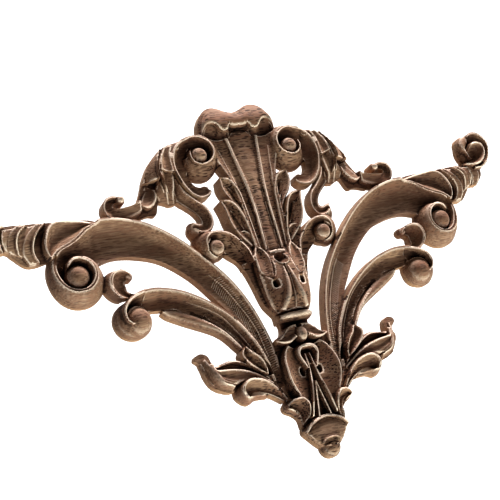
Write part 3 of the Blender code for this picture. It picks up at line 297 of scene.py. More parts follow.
# The cutter left a row of fine slanting marks on the lower half of both stems, one for each pass.
MARKS = 52
MARK_WIDTH = 0.45
MARK_DEPTH = 0.28
marked_stems = [
    ([(10.2, -90), (10.8, -82), (12.4, -74), (16.4, -64), (21.6, -55)], 3.4),
    ([(14.0, -88), (16.8, -80), (21.6, -72.4), (28.6, -66)], 3.0),
]
for stem, reach in marked_stems:
    for x, z in curve(stem, MARKS)[2:-2]:
        mark = [(x, z), (x + 0.45 * reach, z - 0.1 * reach), (x + reach, z - 0.75 * reach)]
        stroke(mark, MARK_WIDTH, MARK_DEPTH, "groove")


# The small open curl that springs from the big volute's lower side, a thin coved band cut
# clear of its neighbours.
FINE_RIM = 0.5


def hollow(first, second, floor, edge=FINE_RIM, middle=0.5, power=1.8):
    """A concave leaf between two rims."""

    def form(t, u, w):
        near = u < middle
        side = np.where(near, vary(first, t), vary(second, t))
        part = np.where(near, middle, 1 - middle) * w
        d = np.where(near, u, 1 - u) * w
        s = np.clip((d - edge) / np.maximum(part - edge, 1e-6), 0, 1)
        f = vary(floor, t)
        h = f + (side - f) * (1 - s) ** power
        return np.where(d < edge, side - 0.35 * (1 - d / edge) ** 2, h)

    return form


rim = [(49.6, -51.2), (50.8, -49.8), (53.2, -49.2), (55.8, -50.0), (57.1, -52.4), (56.9, -54.8),
       (55.8, -56.8), (54.2, -58)]
inner = [(49.6, -51.6), (50.5, -52.2), (51.5, -52.7), (52.1, -53.5), (51.9, -54.6), (52.0, -55.6),
         (51.0, -56.7), (49.0, -57.5)]
disc((50.3, -51.0), 1.5, dome(EDGE, 4.4))
patch(rim, inner, hollow([4.4, 5.6, 6.2, 6.2, 5.6, 5], [3.4, 3.2, 3.4, 3.8, 4], 2.8, FINE_RIM, 0.7))
band(rim[2:], [-0.5, -1.1, -1.6, -1.5, -1.0, -0.4], slope([6.0, 6.2, 6, 5], [EDGE]))


# The stem that drops from the shoulder leaves, a narrow trough between two fine rims, and hooks
# forward over the side volute.
rim = [(27.2, -20.6), (25.4, -26), (22.2, -30.0), (19.6, -32.5), (18.4, -35), (18.1, -37.5),
       (18.7, -39.5), (20.3, -41.1), (22.8, -41.1), (24.7, -39.6)]
inner = [(28.8, -26), (27.8, -29.2), (25.5, -31.3), (23.5, -33.2), (22.3, -35), (21.8, -36.6),
         (22.0, -37.4), (22.8, -37.8), (23.8, -37.6), (25.1, -37.2)]
floor = [2.6, 2.6, 2.8, 3]
patch(rim, inner, hollow([5, 5.2, 5.2, 5, 4.6], [2.8, 3, 3, 3.6, 4.4], floor, FINE_RIM, 0.6, 2.0))
patch([(23, -41.2), (24.8, -39.8), (25.3, -37.4)], [(25.6, -42.6), (26.8, -39.8), (25.8, -36.9)],
      slope(4, 1.6))


# The small volute beside the bud: a coved stem that leaves the bud's side, rises past the lowest leaf
# of the plume, and turns round a ball.
eye = (19.6, -46.6)
rim = [(8.2, -53), (9.5, -48.6), (11.6, -45.7), (14.2, -43.1), (17, -41.9), (20, -41.6), (22.2, -42.6),
       (23.2, -44.6), (22.8, -46.8), (21.6, -48.8)]
inner = [(11.8, -55), (12.4, -53.2), (13.4, -51.8), (14.9, -50.5), (16.4, -49.0), (17.4, -47.0),
         (18.4, -45.2), (19.6, -44.8), (20.5, -45.8), (20.7, -47.2)]
disc((19.7, -46.0), 4.3, level(2.2))
patch(rim, inner, cove([6, 6, 6.4, 6.4, 6, 5.6], [2.4, 2.4, 3.0, 4.0], [2.6, 3.0, 4.0], 0.5, 0.45))
band(rim[5:] + [(19.4, -49.2)], [-0.8, -2.7, -3.2, -2.8, -2.2, -1.2], slope([5.8, 5.4, 4.4], 1.6))
stroke([(21.9, -43.0), (21.6, -45.4), (20.6, -47.4)], [1.6, 2.4, 2.0], [5.2, 5.6, 5.4], "raise")
disc(eye, 2.8, dome(3.2, 6.6, 0.5), "set")


# The plume: a fan of flutes and beads between leaf edges, with a thick lip rolled forward over the
# top and undercut with a dark hollow.
bead = [(6.0, -8), (5.3, -11.4), (4.2, -19.6), (3.2, -27), (2.8, -33), (2.7, -38), (2.8, -45),
        (2.9, -51.5)]
outer = [(13.4, -8), (12.0, -14), (10.9, -18.5), (8.8, -24), (7.4, -32), (6.9, -41), (6.6, -52)]
patch([(0, -8), (0, -52)], bead, lambda t, u, w: 3.0 + 1.8 * np.sqrt((1 - u * u).clip(0, 1)), "set")
patch(bead, outer, hollow(4.4, [5.2, 5.4, 5.2], [3.9, 4.0, 4.1], 0.5, 0.4, 1.4))
stroke(bead, [1.2, 1.3, 1.1, 1.0], [5.4, 5.3, 5.5, 5.5, 5.0], "raise")
stroke(beside(bead, [0.9, 0.85, 0.8]), 0.7, [0.3, 0.6, 0.6, 0.4], "groove")
stroke([(9.2, -14), (7.6, -22), (6.3, -30), (5.4, -40), (4.7, -50)], [0.5, 0.9, 1.0, 0.8],
       [0.2, 0.5, 0.6, 0.5])
leaves = [
    ([(6.0, -37), (5.8, -32), (7.0, -27.5), (9.0, -24.6), (12.3, -23.9)],
     [(6.6, -38), (8.9, -34), (11.2, -31), (12.6, -27.6), (12.4, -24.1)], 6.2, 2.0),
    ([(6.0, -48), (6.6, -42), (8.2, -36.5), (10.8, -32.6), (14.5, -31.9)],
     [(7.6, -48), (11.6, -43.6), (13.4, -39.6), (14.0, -35.6), (14.8, -32.3)], 7.0, 2.4),
    ([(5.8, -52), (5.6, -46), (8.2, -42.8), (10.4, -43.0)],
     [(8.2, -52), (9.6, -49), (10.8, -47), (11.4, -44.3)], 5.6, 1.6),
]
for first, second, top, deep in leaves:
    floor = [top - 0.6 - deep, top - deep - 0.3, top - deep, top - 0.7]
    patch(first, second, hollow([4.8, top - 0.5, top], [4.8, top - 0.4, top], floor, 0.4, 0.35, 1.3))
stroke([(9.7, -27.4), (8.6, -30.4), (6.9, -34)], [0.4, 0.9, 0.4], [0.8, 2.4, 0.8], "groove")
stroke([(11.7, -35.4), (10.3, -38.6), (8.5, -42.0)], [0.4, 0.9, 0.4], [0.8, 2.6, 0.8], "groove")
top = [(0, -0.7), (1.6, -0.3), (3.4, 0.5), (5.2, 1.4), (7.2, 1.75), (9.2, 1.3), (11, 0.1), (12.6, -2),
       (13.7, -4.6), (14.2, -8.4)]
lip = [(0, -6.4), (1.6, -6.4), (2.9, -6.1), (3.5, -6.0), (4.2, -7.4), (5.8, -7.9), (7.2, -7.3),
       (8.4, -5.7), (9.8, -4.9), (11.2, -5.3), (12.4, -6.8), (13.0, -8.8)]
roll = [7.4, 7.4, 7.6, 7.4, 6.6, 4.6]
drop = [3.6, 4.0, 3.2, 2.2]
patch(top, lip, lambda t, u, w: vary(roll, t) - vary(drop, t) * (1 - u) ** 2.4 - 1.5 * u**5, "set")
under = [(0, -7.6), (1.6, -7.6), (3.0, -8.2), (4.2, -9.6), (6, -10.0), (7.8, -10.0), (9.6, -9.8),
         (11, -9.4), (12.2, -9.2), (13.0, -9.4)]
pit = [3.9, 3.8, 3.8, 3.2, 2.4, 2.4, 2.6]
bend = [9, 7, 2.4, 2.4, 4]
patch(lip, under, lambda t, u, w: vary(pit, t) + (5.4 - vary(pit, t)) * (1 - u) ** vary(bend, t), "set")
stroke([(3.3, -4.6), (3.5, -7), (4.0, -9.6)], [0.6, 1.0, 0.7], [0.1, 0.5, 0.4], "groove")


# The upper scroll beside the plume: a volute with its ball, and a coved band that runs round its
# outside and hooks in underneath.
middle = (16.5, -14.0)
eye = (16.7, -15.2)
volute = spiral(middle, 65, 385, [6.0, 5.2, 5.0, 4.9, 4.85, 4.95, 4.2, 3.0])
rim = [(15.6, -8.8), (19, -8.5), (22.8, -9.8), (25.4, -12.2), (26.8, -15.6), (27, -19), (26.3, -22.4),
       (25, -25.6), (22.8, -28.5), (20, -29.9), (17, -29.3), (15.6, -27.8)]
inner = [(16.6, -11.4), (18.6, -11.6), (19.9, -13.3), (20.3, -15.4), (20.6, -17), (21.2, -18.8),
         (21.7, -20.4), (21.6, -22.6), (20.4, -24.8), (18.8, -25.6), (17.4, -25.4), (16.0, -26.0)]
disc((16.6, -15.2), 6.3, level(FLOOR))
floor = [2.2, 2.4, 2.6, 3.0, 3.0]
patch(rim, inner, cove([6.4, 6.2, 6, 6, 5.4, 4.4], floor, [2.8, 3, 3, LOW, 3.6], 0.8, 0.45))
flare = [-1.6, -3.6, -4.0, -3.0, -2.4, -2.2, -1.6]
band(volute[34:3:-1], flare, slope([5.2, 6.4, 6.6], [1.6, 1.4, 2.6], 1.6))
turn = spiral(eye, 60, 392, [3.4, 2.8, 2.7, 2.7, 2.7, 2.7, 2.6, 2.3])
gap = [2.2, 2.4, 3.2, 4.4]
patch(volute, turn, cove([6.4, 6.8, 7, 7, 6.8, 6.6], gap, gap, 0.6, 0.5), "set")
disc(eye, 3.1, dome(3, 7.3, 0.5), "set")


# The shoulder leaves: thin leaves that overlap like roof tiles outside the upper scroll, and the
# stem that leaves them and ends in a curl.
def flat(level):
    """A level patch, with its height varying along it."""
    return lambda t, u, w: vary(level, t) + 0 * u


shoulder = [(22, -9.2), (27, -10.3), (31.2, -12.8), (34.4, -16), (37.0, -20), (37.9, -22)]
patch(shoulder, [(24, -10.8), (26.6, -14), (27.4, -20), (27.4, -25), (27.8, -29.2), (30.2, -29.9)],
      flat(2.1))
patch([(37.9, -22), (39.6, -25.4), (41.6, -28.2), (43.6, -29.6), (45.4, -30.0)],
      [(30.2, -29.9), (33.6, -28.4), (35.7, -32.4), (38.6, -32.3), (43, -33.5)], flat(2.1))
patch(shoulder, [(23, -12.2), (27, -13.2), (30.4, -15.4), (32.6, -18.2), (34.8, -21.0), (36.2, -22.4)],
      lambda t, u, w: 4.0 + 1.4 * u)
patch([(26.6, -11.4), (27.4, -18), (27.8, -28.6)], [(31.4, -13.6), (33.4, -20), (31.8, -28.4)],
      flat([4.4, 4.6, 2.6]), "set")
vein = [(29.4, -11.4), (31.2, -14.4), (32.2, -18), (32.6, -21.8)]
patch(vein, [(30.6, -12.3), (33.7, -15.4), (36.2, -19), (37.2, -22.0)],
      slope([5.6, 6.2, 6.2], [4.4, 4.0, 3.2], 1.5), "set")
patch([(32.3, -21.6), (33.2, -23.0), (34.8, -23.6), (37.0, -22.4)],
      [(32.4, -22.4), (33.4, -24.0), (35.2, -24.8), (37.6, -23.6)], flat(2.6), "set")
patch([(34.0, -24.4), (34.6, -27.2), (36.2, -29.7), (38.4, -30.7), (40.3, -29.8)],
      [(36.8, -23.6), (38.4, -25.6), (39.6, -27.4), (40.2, -28.2), (40.6, -28.8)],
      hollow([3.6, 4.8, 5.0, 4.8], [2.6, 3.0, 3.4], [2.8, 3.2, 3.8], 0.6, 0.6), "set")
patch([(31.9, -21.8), (31.6, -25), (30.9, -29.4)], [(33.8, -23.6), (34.2, -26.4), (33.4, -28.4)],
      lambda t, u, w: vary([5.2, 4.4, 2.4], t) - 1.6 * u**1.5 * (1 - t), "set")
patch([(27.3, -20.0), (27.9, -24), (28.6, -27), (28.4, -29.4)],
      [(31.4, -18.6), (32.0, -22), (31.6, -25), (31.2, -29.4)],
      hollow([5.2, 5.2, 4.6, 2.4], [5.8, 5.8, 5.0, 2.6], [4.2, 4.2, 3.8, 2.3], 0.5, 0.6, 1.3), "set")
patch([(25.2, -10.6), (26.6, -13.6), (27.0, -17), (27.0, -20.1)],
      [(28.2, -10.9), (30.0, -13.6), (31.0, -16.4), (31.4, -18.6)],
      hollow([6.0, 6.2], [5.8, 6.2], [5.2, 5.0, 5.4], 0.5, 0.5, 1.4), "set")
stroke([(29.0, -11.2), (30.8, -15), (31.8, -19), (31.5, -23), (30.2, -27)], 0.7, [0.1, 1.4, 1.2, 0.4],
       "groove")
stroke([(30.4, -12.6), (32.4, -17), (33.0, -21), (31.9, -26)], 0.6, [0.1, 1.2, 1.2, 0.4], "groove")
outer = [(40.6, -32.0), (43, -33.0), (47, -33.7), (50.4, -33.1), (52.6, -31.2), (53.2, -28.7),
         (52.0, -26.2), (49.8, -25.3), (47.6, -25.6), (46.3, -26.7)]
inner = [(40.4, -27.4), (42, -28.6), (44, -29.3), (46, -29.6), (48.0, -29.7), (49.6, -29.3),
         (50.0, -28.3), (49.3, -27.6), (47.8, -27.4), (46.4, -27.5)]
patch(outer, inner, cove([1.8, 3.0, 3.6, 4.6, 5.4, 5.4, 4.8], [4.6, 4.6, 4.2, 3.4, 3.2],
                         [5.4, 5.6, 5.4, 4.6, 4.4], 0.5, 0.3))
disc((46.9, -26.7), 1.5, dome(3.6, 6.0))
disc((48.0, -28.5), 1.2, level(2.0), "cut", 0.6)


# The heart under the collar: a small open flower, a hood with two drop holes, and leaves folded
# round a pair of long ribs.
patch([(0, -74), (0, -107)], [(5.2, -74), (4.9, -75.8), (5.6, -78), (7.8, -79.4), (9.4, -84), (9.8, -90),
                              (9.0, -98), (7.4, -104), (7.6, -108)], flat(2.6))
patch([(2.2, -83.6), (1.6, -90), (2.4, -97), (4.4, -104.6)],
      [(6.0, -82), (7.8, -84.1), (9.0, -87), (9.5, -90.4), (9.3, -93.6), (8.4, -96.4), (7.4, -98.8),
       (5.8, -105)],
      hollow([4.4, 4.6], [5.4, 6.4, 7.6, 7.2, 6.4, 5.4], [4.0, 4.8, 4.4], 0.5, 0.35, 1.4))
patch([(0.8, -75.8), (3.7, -76.3), (5.8, -78.1), (7.6, -79.4), (9.4, -79.9)],
      [(1.2, -79.8), (3.0, -80.8), (4.6, -81.6), (6.6, -81.6), (9.4, -80.6)],
      hollow([5.6, 5.2], [6.6, 6.4, 5.4], [5.0, 4.8], 0.5, 0.6, 1.4), "set")
disc((0, -79.4), 2.0, dome(4.6, 7.8, 0.6), "set", 2.6)
patch([(0, -82.4), (2.2, -82.9), (3.8, -84.2), (4.0, -86.2), (3.2, -88.4), (2.2, -90.6)],
      [(0, -84.2), (1.8, -84.5), (2.5, -86), (2.0, -87.8), (1.4, -89.4), (1.2, -90.8)],
      swell(4.6, 6.6), "set")
patch([(0, -84.2), (1.8, -84.6), (2.4, -86)], [(0, -89.6), (0.6, -89.2), (1.2, -88.6)],
      lambda t, u, w: 2.6 + 2.6 * u**1.4, "set")
stroke([(0.8, -85.6), (1.0, -90), (1.7, -95), (2.9, -100), (4.3, -105.6)], [0.6, 0.65, 0.7, 0.6],
       [5.6, 6.6, 6.9, 6.0], "raise")
stroke([(0, -94.6), (2.1, -105.8)], [0.6, 0.6], [5.8, 5.6], "raise")
stroke([(0.1, -86), (0.2, -92.5)], 0.5, [0.4, 1.2, 0.6], "groove")
disc((3.0, -91.2), 0.8, level(2.2), "cut", 1.3)


# The bud: two bulging leaves with a drop hole in each, a tongue between them with a hollow at its
# top, and a rounded collar below. It is the highest part of the carving.
PEAK = 9.2
axis = [(0, -50.2), (0, -56), (0, -61), (0, -66), (0, -72.5)]
side = [(7.8, -50.2), (8.4, -54), (8.5, -58), (8.3, -62), (7.9, -66), (7.1, -69.4), (5.6, -72.3)]
skirt = [(12.2, -53.2), (10.9, -57), (9.9, -61), (9.1, -65), (8.2, -68.2), (5.6, -72.3)]
patch([(6, -52), (6, -62), (5, -72.3)], skirt, flat([3.0, 2.8, 3.2, 3.6]))
crest = [4.4, 7.6, 8.8, PEAK, 8.8, 6.2]
foot = [4.0, 5.6, 5.4, 4.6]
patch(axis, side, lambda t, u, w: vary(crest, t) - (vary(crest, t) - vary(foot, t)) * u**2.6, "set")
patch([(6.0, -48.6), (4.5, -50.4), (3.6, -53.6), (3.8, -57), (4.6, -60.6)],
      [(6.6, -48.6), (8.0, -51.0), (8.5, -54), (8.3, -57.6), (5.3, -60.8)],
      hollow([5.6, 6.8, 7.4, 8.0], [5.2, 6.2, 6.6, 7.4], [4.9, 5.3, 6.4, 7.5], 0.4, 0.6, 1.2), "set")
disc((0, -53.6), 3.0, lambda u: 5.2 + 3.4 * u**2.6, "cut", 2.9)
stroke([(0, -56.6), (1.4, -56.1), (2.5, -54.6)], [0.5, 0.5, 0.4], [0.5, 0.5, 0.3], "add")
stroke([(0, -51.4), (1.4, -51.6), (2.8, -51.6)], 1.3, [6.8, 6.7, 6.3], "raise")
disc((4.7, -62.5), 0.85, level(5.2), "cut", 1.25)
stroke([(4.5, -60.0), (4.7, -61.6)], [0.4, 1.3], [1.0, 2.6], "groove")
stroke([(0.9, -57.5), (1.2, -61), (1.7, -64.4), (2.7, -67.8), (4.4, -71.2)], [0.8, 2.0, 2.8, 3.0, 2.4],
       [0.4, 1.0, 1.4, 1.5, 1.0], "groove")
stroke([(0, -56.4), (0, -63), (0, -71)], [0.5, 0.55, 0.5], [0.8, 0.9, 0.7], "add")
patch([(0, -71.6), (5.9, -71.8)], [(0, -74.7), (5.9, -74.4)],
      lambda t, u, w: 3.6 + 4.4 * np.sqrt((1 - (2 * u - 1) ** 2).clip(0, 1)) - 2.6 * t**4, "set")


# The acanthus leaf at the foot, with a curled tip, a small upright leaf behind it and two lobes
# that turn down and out.
upper = [(12.6, -92), (17.6, -87.2), (22, -84.0), (25.3, -82.9), (29, -83.5), (31.5, -83.9),
         (31.8, -81.8), (32.5, -79.9), (34.2, -79.0), (36.2, -79.5)]
lower = [(9.5, -98), (14.5, -93), (20, -91.2), (27.0, -92.5), (30.2, -91.7), (32.4, -90.3), (34.0, -87.9),
         (34.8, -85.3), (34.7, -82.8), (36.6, -80.6)]
patch(upper, lower, flat([3, 3, 2.8, 2.8, 3.2, 3.2, 2.4]))
patch([(14, -90.4), (19, -86.2), (24.5, -83.3), (31.0, -84.0)],
      [(14, -92), (19.4, -88.4), (25, -86.4), (31.4, -85.8)],
      cove([3.6, 4.8, 4.8], [2.6, 2.4, 2.6], [2.6, 2.8, 3.0], 0.5, 0.3))
patch([(13, -92.2), (19, -88.2), (25, -86.2), (31.4, -85.4)],
      [(13.6, -93.8), (20, -90.6), (26.2, -90.2), (30.2, -88.6)],
      hollow([3.6, 5, 6, 6.2], [3.4, 4.4, 5.4, 6.0], [3.2, 4.2, 5.0, 5.4], 0.5, 0.5, 1.4), "set")
stroke([(24.5, -90.2), (27.2, -90.2), (29.9, -89.2), (31.3, -87.4), (31.9, -85), (32.3, -82.8)],
       [0.7, 1.0, 1.2, 1.0], [4.8, 6.0, 6.2, 4.8], "raise")
patch([(26.6, -91), (29.8, -89.8), (31.6, -87.4), (32.4, -84.6), (33.4, -81)],
      [(27.4, -92.6), (32.2, -90.5), (34.1, -87.8), (34.8, -84.8), (35.4, -81.6)],
      slope([5.6, 6.2, 5.6, 3.6], 1.5, 1.5))
patch([(14.4, -89.6), (14.6, -86.6), (16, -83.8), (18, -81.8), (19.5, -79.6)],
      [(14.8, -89.6), (18.0, -87.6), (21, -84.8), (21.9, -82), (20, -79.7)],
      hollow([4.8, 5.6, 5.8, 5], [4.8, 5.8, 5.6], [3.2, 3.4, 3.8], 0.45, 0.5, 1.4), "set")
stroke([(13.0, -89.6), (13.5, -87.6), (14.6, -84.8)], [1.2, 1.4, 0.8], 1.6, "cut")
lobe = [(10.3, -98.4), (13, -94.4), (16.3, -91.4), (20, -90.1), (22.6, -90.2), (24.4, -91.6),
        (24.7, -93.4), (23.8, -95.0)]
patch(lobe, [(11.5, -99.0), (14.6, -96.6), (17.6, -95.0), (19.6, -94.6), (20.8, -94.6), (21.6, -94.8),
             (22.2, -95.0), (22.8, -95.3)],
      hollow([4.4, 5.4, 6.2, 6.6, 5.6], [3.6, 3.4, 3.4, 3.4], [2.8, 2.8, 3.0, 3.2], 0.5, 0.75, 1.8),
      "set")
patch([(22.4, -90.2), (24.4, -91.5), (24.8, -93.4), (23.6, -95.2), (20.6, -94.9), (16.6, -95.2)],
      [(24.8, -90.9), (26.4, -92.6), (26.1, -95.0), (23.3, -97.2), (20.2, -96.2), (16.1, -96.4)],
      slope([6.2, 5.8, 3.2], 1.6, 1.4), "raise")
rim = [(4.9, -105.2), (4.8, -101.9), (6.0, -99.7), (8.0, -98.9), (10.2, -99.3), (11.6, -100.4)]
patch(rim, [(7.6, -107.4), (7.8, -105), (8.4, -103.2), (9.2, -102.4), (10.2, -101.8), (11.4, -101.2)],
      hollow([5, 7, 7.6, 6.6, 5.6], [3, 3.6, 4], [3, 3, 3.4], 0.6, 0.7, 1.8), "set")
patch([(9.4, -99.2), (11.3, -100.1), (11.2, -101.2), (9.4, -102.2), (8.2, -104), (7.6, -107.2)],
      [(10.6, -98.8), (12.0, -100.4), (11.7, -102.0), (9.4, -103.5), (8.0, -105.2), (7.8, -108.4)],
      slope([5.4, 4.6, 3], 1.6, 1.6))


# The bell at the foot with a ball below it: a plain shape, as if turned, with a thin brim that catches
# the light and fine grooves where bell and ball meet.
brim = [(0, -105.4), (3.0, -106.1), (5.8, -107.4), (8.0, -109.4)]
base = [(0, -115.6), (1.6, -115.6), (3.2, -115.2), (4.7, -113.9)]


def bell(t, u, w):
    """The bell's height: a thin brim, then a rounded face that falls away to the foot."""
    face = 2.6 + 2.2 * (1 - (2 * u - 1) ** 2).clip(0, 1) ** 0.5
    return np.where(u * w < 1.0, 5.4 - 0.4 * (1 - u * w) ** 2, face) - 1.0 * t**3


patch(brim, base, bell, "set")
patch([(6.6, -107), (7.9, -108.8), (7.9, -110.0)], [(4, -110), (4.2, -112), (4.7, -113.9)], flat(2.0))
disc((0, -115.4), 3.4, dome(1.6, 4.8))
stroke([(0, -112.8), (1.7, -113.0), (3.4, -114.0)], 0.8, 1.1, "groove")
stroke([(1.0, -115.2), (2.3, -115.0)], 0.5, 1.0, "groove")


# The leaves on the outer end of the main scroll: a long one between two rims, then short lobes side by
# side, and the curl that rises from them, a coved band rolled back round its folded tip.
patch([(55, -32.6), (58, -31.4), (63, -30.8), (69.5, -30.5), (74, -30.2), (80, -29.9), (84, -29.8),
       (89, -30.4)],
      [(57, -33), (63, -36.8), (69.5, -40.6), (74.6, -42.6), (79.6, -42.9), (83.2, -39.8),
       (85.2, -37.8), (88.4, -37.9)],
      lambda t, u, w: 3.0 - 1.0 * u**3)
patch([(86, -32), (88.8, -34.4), (88.0, -37.6)], [(92.6, -31.4), (92.0, -34.2), (89.6, -36.9)], flat(2.0))
patch([(56, -32.4), (60.5, -31.7), (66, -31.1), (69.8, -31.2), (72.4, -33.2), (74.3, -37.2),
       (74.2, -40.4), (73.2, -42.6)],
      [(57.2, -33.4), (60.4, -35.0), (63.5, -37.3), (66.4, -38.9), (69.4, -40.1), (71.2, -41.2),
       (72.2, -42), (72.9, -42.8)],
      hollow([3, 5, 5.8, 6.6, 6.8, 6.4], [5.2, 5.6, 6.0, 6], [3.4, 3.6, 4.0, 4.4], 0.6, 0.5, 1.6), "set")
patch([(74.6, -31.2), (77.6, -36), (76.8, -42.4)], [(85.4, -31.2), (86.2, -34.4), (85.4, -37.6)],
      flat([4.8, 4.6, 3.2]))
lobes = [
    ([(72.0, -31.0), (75.2, -33.8), (77.0, -37.2), (77.2, -40), (76.0, -42.6)],
     [(75.0, -30.8), (78.6, -33.8), (80.4, -37.0), (80.6, -40.0), (79.2, -42.7)]),
    ([(77.6, -30.8), (80.6, -33.2), (81.8, -36.2), (81.6, -39.6)],
     [(81.0, -30.5), (83.6, -32.8), (84.6, -35.4), (84.6, -38.0)]),
]
for first, second in lobes:
    patch(first, second, hollow([6.0, 6.0, 4.0], [5.4, 5.0, 3.2], [5.2, 4.8, 3.0], 0.5, 0.3, 1.5), "set")
patch([(85.2, -30.6), (86.2, -33), (86.4, -35.6), (86.0, -37.8)],
      [(89.4, -31.0), (90.6, -33), (90.2, -35.4), (88.2, -37.8)], slope([4.4, 4.2, 3.0], 3.0), "set")
disc((90.8, -25.2), 6.2, lambda u: 3.6 - 2.0 * u**3)
patch([(87.6, -31.0), (86.2, -30.4), (84.4, -30.2)], [(88.6, -28.6), (87.8, -28.8), (87.0, -29.0)],
      flat(3.0))
outer = [(88.4, -20.4), (89.8, -19.1), (92.2, -18.5), (94.8, -19.6), (96.6, -22.4), (96.9, -25),
         (96.0, -28), (94.2, -30.4), (91.4, -32.2), (88.4, -32.4)]
middle = [(88.4, -23.2), (90.0, -22.6), (91.8, -22.4), (93.4, -23.2), (94.3, -25.2), (93.9, -27.6),
          (92.4, -29.8), (90.4, -31.0), (88.4, -31.4)]
patch(outer, middle, cove([5.2, 5.6, 5.8, 5.6, 5.2], 2.4, 3, 0.7, 0.5), "set")
patch([(86.6, -25.4), (88.4, -23.4), (91, -22.5), (93.4, -23.2), (94.3, -25.3), (93.7, -28),
       (91.6, -30.4), (88.4, -31.2), (84.4, -30.6)],
      [(88.0, -26.6), (89.4, -25.8), (90.4, -25.6), (91.0, -25.9), (91.0, -26.6), (90.4, -27.4),
       (89.2, -28.2), (87.4, -28.9), (85.6, -29.4)],
      hollow([6.0, 6.4, 6.6, 6.2, 5.4], 3.2, 3.2, 0.6, 0.95, 1.6), "set")
disc((90.1, -26.6), 1.2, level(3.1), "set")
patch([(89.0, -18.9), (86.6, -19.6), (85.2, -21.6), (85.3, -24.0), (86.8, -26.0), (88.0, -28.4)],
      [(89.4, -22.6), (88.8, -23.2), (88.0, -24.2), (87.6, -25.0), (87.9, -26.2), (88.6, -28.2)],
      swell(FLOOR, [4.6, 5.2, 5.0, 4.2], 0.5), "set")


# The finished surface: the heights are rounded a little, as the cutter's nose leaves them, and become
# one closed mesh with upright sawn walls and a flat back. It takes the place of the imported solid.
MM = 0.001
MOUNT_Z = -62.0
SOFTNESS = 0.1
THINNEST = 1.0
OUTLINE_ERROR = 0.02
OUTLINE_STEP = 0.5
AXIS_STEP = 0.5
SMALLEST_HOLE = 7.0
NEAREST = 0.2
FARTHEST = 0.5
BEND_SPACING = 0.42
WALL_STEPS = 3
SHARP_DEGREES = 50


def blurred(grid, sigma):
    """The grid, mirrored over the axis, with each value spread over its neighbours."""
    reach = int(math.ceil(3 * sigma / CELL))
    weights = np.exp(-0.5 * (np.arange(-reach, reach + 1) * CELL / sigma) ** 2)
    weights /= weights.sum()
    grid = np.pad(grid, ((reach, reach), (0, reach)), mode="edge")
    grid = np.concatenate([grid[:, reach:0:-1], grid], axis=1)
    tall = grid.shape[0] - 2 * reach
    wide = grid.shape[1] - 2 * reach
    grid = sum(weights[k] * grid[k : k + tall, :] for k in range(2 * reach + 1))
    return sum(weights[k] * grid[:, k : k + wide] for k in range(2 * reach + 1))


def softened(values, sigma):
    """The heights blurred over the solid only, and the solid's own blurred share."""
    share = blurred((values > VOID / 2).astype(float), sigma)
    return blurred(np.where(values > VOID / 2, values, 0), sigma) / np.maximum(share, 1e-9), share


def outline(share):
    """Closed loops, as (x, z), where the solid's share crosses a half; the axis closes them at x = 0."""
    field = np.pad(share, 1)
    field[:, 0] = 0
    near = {}

    def crossing(a, b):
        va, vb = field[a], field[b]
        s = (0.5 - va) / (vb - va)
        i = a[0] + (b[0] - a[0]) * s - 1
        j = a[1] + (b[1] - a[1]) * s - 1
        return (max(0.0, j * CELL), Z_MAX - i * CELL)

    solid = field > 0.5
    mixed = solid[:-1, :-1].astype(int) + solid[1:, :-1] + solid[:-1, 1:] + solid[1:, 1:]
    for i, j in zip(*np.nonzero((mixed > 0) & (mixed < 4))):
        corners = [(i, j), (i, j + 1), (i + 1, j + 1), (i + 1, j)]
        cuts = []
        for k in range(4):
            a, b = corners[k], corners[(k + 1) % 4]
            if solid[a] != solid[b]:
                cuts.append((min(a, b), max(a, b)))
        for k in range(0, len(cuts), 2):
            near.setdefault(cuts[k], []).append(cuts[k + 1])
            near.setdefault(cuts[k + 1], []).append(cuts[k])
    loops = []
    while near:
        start = next(iter(near))
        loop = [start]
        step = near.pop(start)[0]
        while step != start:
            loop.append(step)
            a, b = near.pop(step)
            step = b if a == loop[-2] else a
        loops.append(np.array([crossing(a, b) for a, b in loop]))
    return loops


def thinned(path, error):
    """The points of an open path that keep it within the error of its full shape."""
    keep = {0, len(path) - 1}
    spans = [(0, len(path) - 1)]
    while spans:
        a, b = spans.pop()
        if b - a < 2:
            continue
        chord = path[b] - path[a]
        away = path[a + 1 : b] - path[a]
        off = np.abs(chord[0] * away[:, 1] - chord[1] * away[:, 0]) / max(np.hypot(*chord), 1e-9)
        k = int(off.argmax())
        if off[k] > error or np.hypot(*chord) > OUTLINE_STEP:
            if off[k] <= error:
                k = (b - a) // 2 - 1
            keep.add(a + 1 + k)
            spans += [(a, a + 1 + k), (a + 1 + k, b)]
    return path[sorted(keep)]


def simple_loop(loop, error):
    """A loop with few points: thinned off the axis and evenly spaced on it."""
    on_axis = loop[:, 0] < 1e-9
    if not on_axis.any():
        far = int(np.hypot(*(loop - loop[0]).T).argmax())
        there = thinned(loop[: far + 1], error)[:-1]
        back = thinned(np.vstack([loop[far:], loop[:1]]), error)[:-1]
        return np.vstack([there, back])
    first = next(k for k in range(len(loop)) if on_axis[k] and not on_axis[k - 1])
    loop = np.roll(loop, -first, axis=0)
    on_axis = np.roll(on_axis, -first)
    cuts = [k for k in range(1, len(loop)) if on_axis[k] != on_axis[k - 1]] + [len(loop)]
    parts = []
    start = 0
    for end in cuts:
        if on_axis[start]:
            count = max(1, int(round(length(loop[[start, end - 1]]) / AXIS_STEP)))
            steps = np.linspace(0, 1, count + 1)[:, None]
            parts.append(loop[start] + (loop[end - 1] - loop[start]) * steps)
        else:
            around = np.vstack([loop, loop[:1]])
            parts.append(thinned(around[start - 1 : end + 1], error)[1:-1])
        start = end
    return np.vstack(parts)


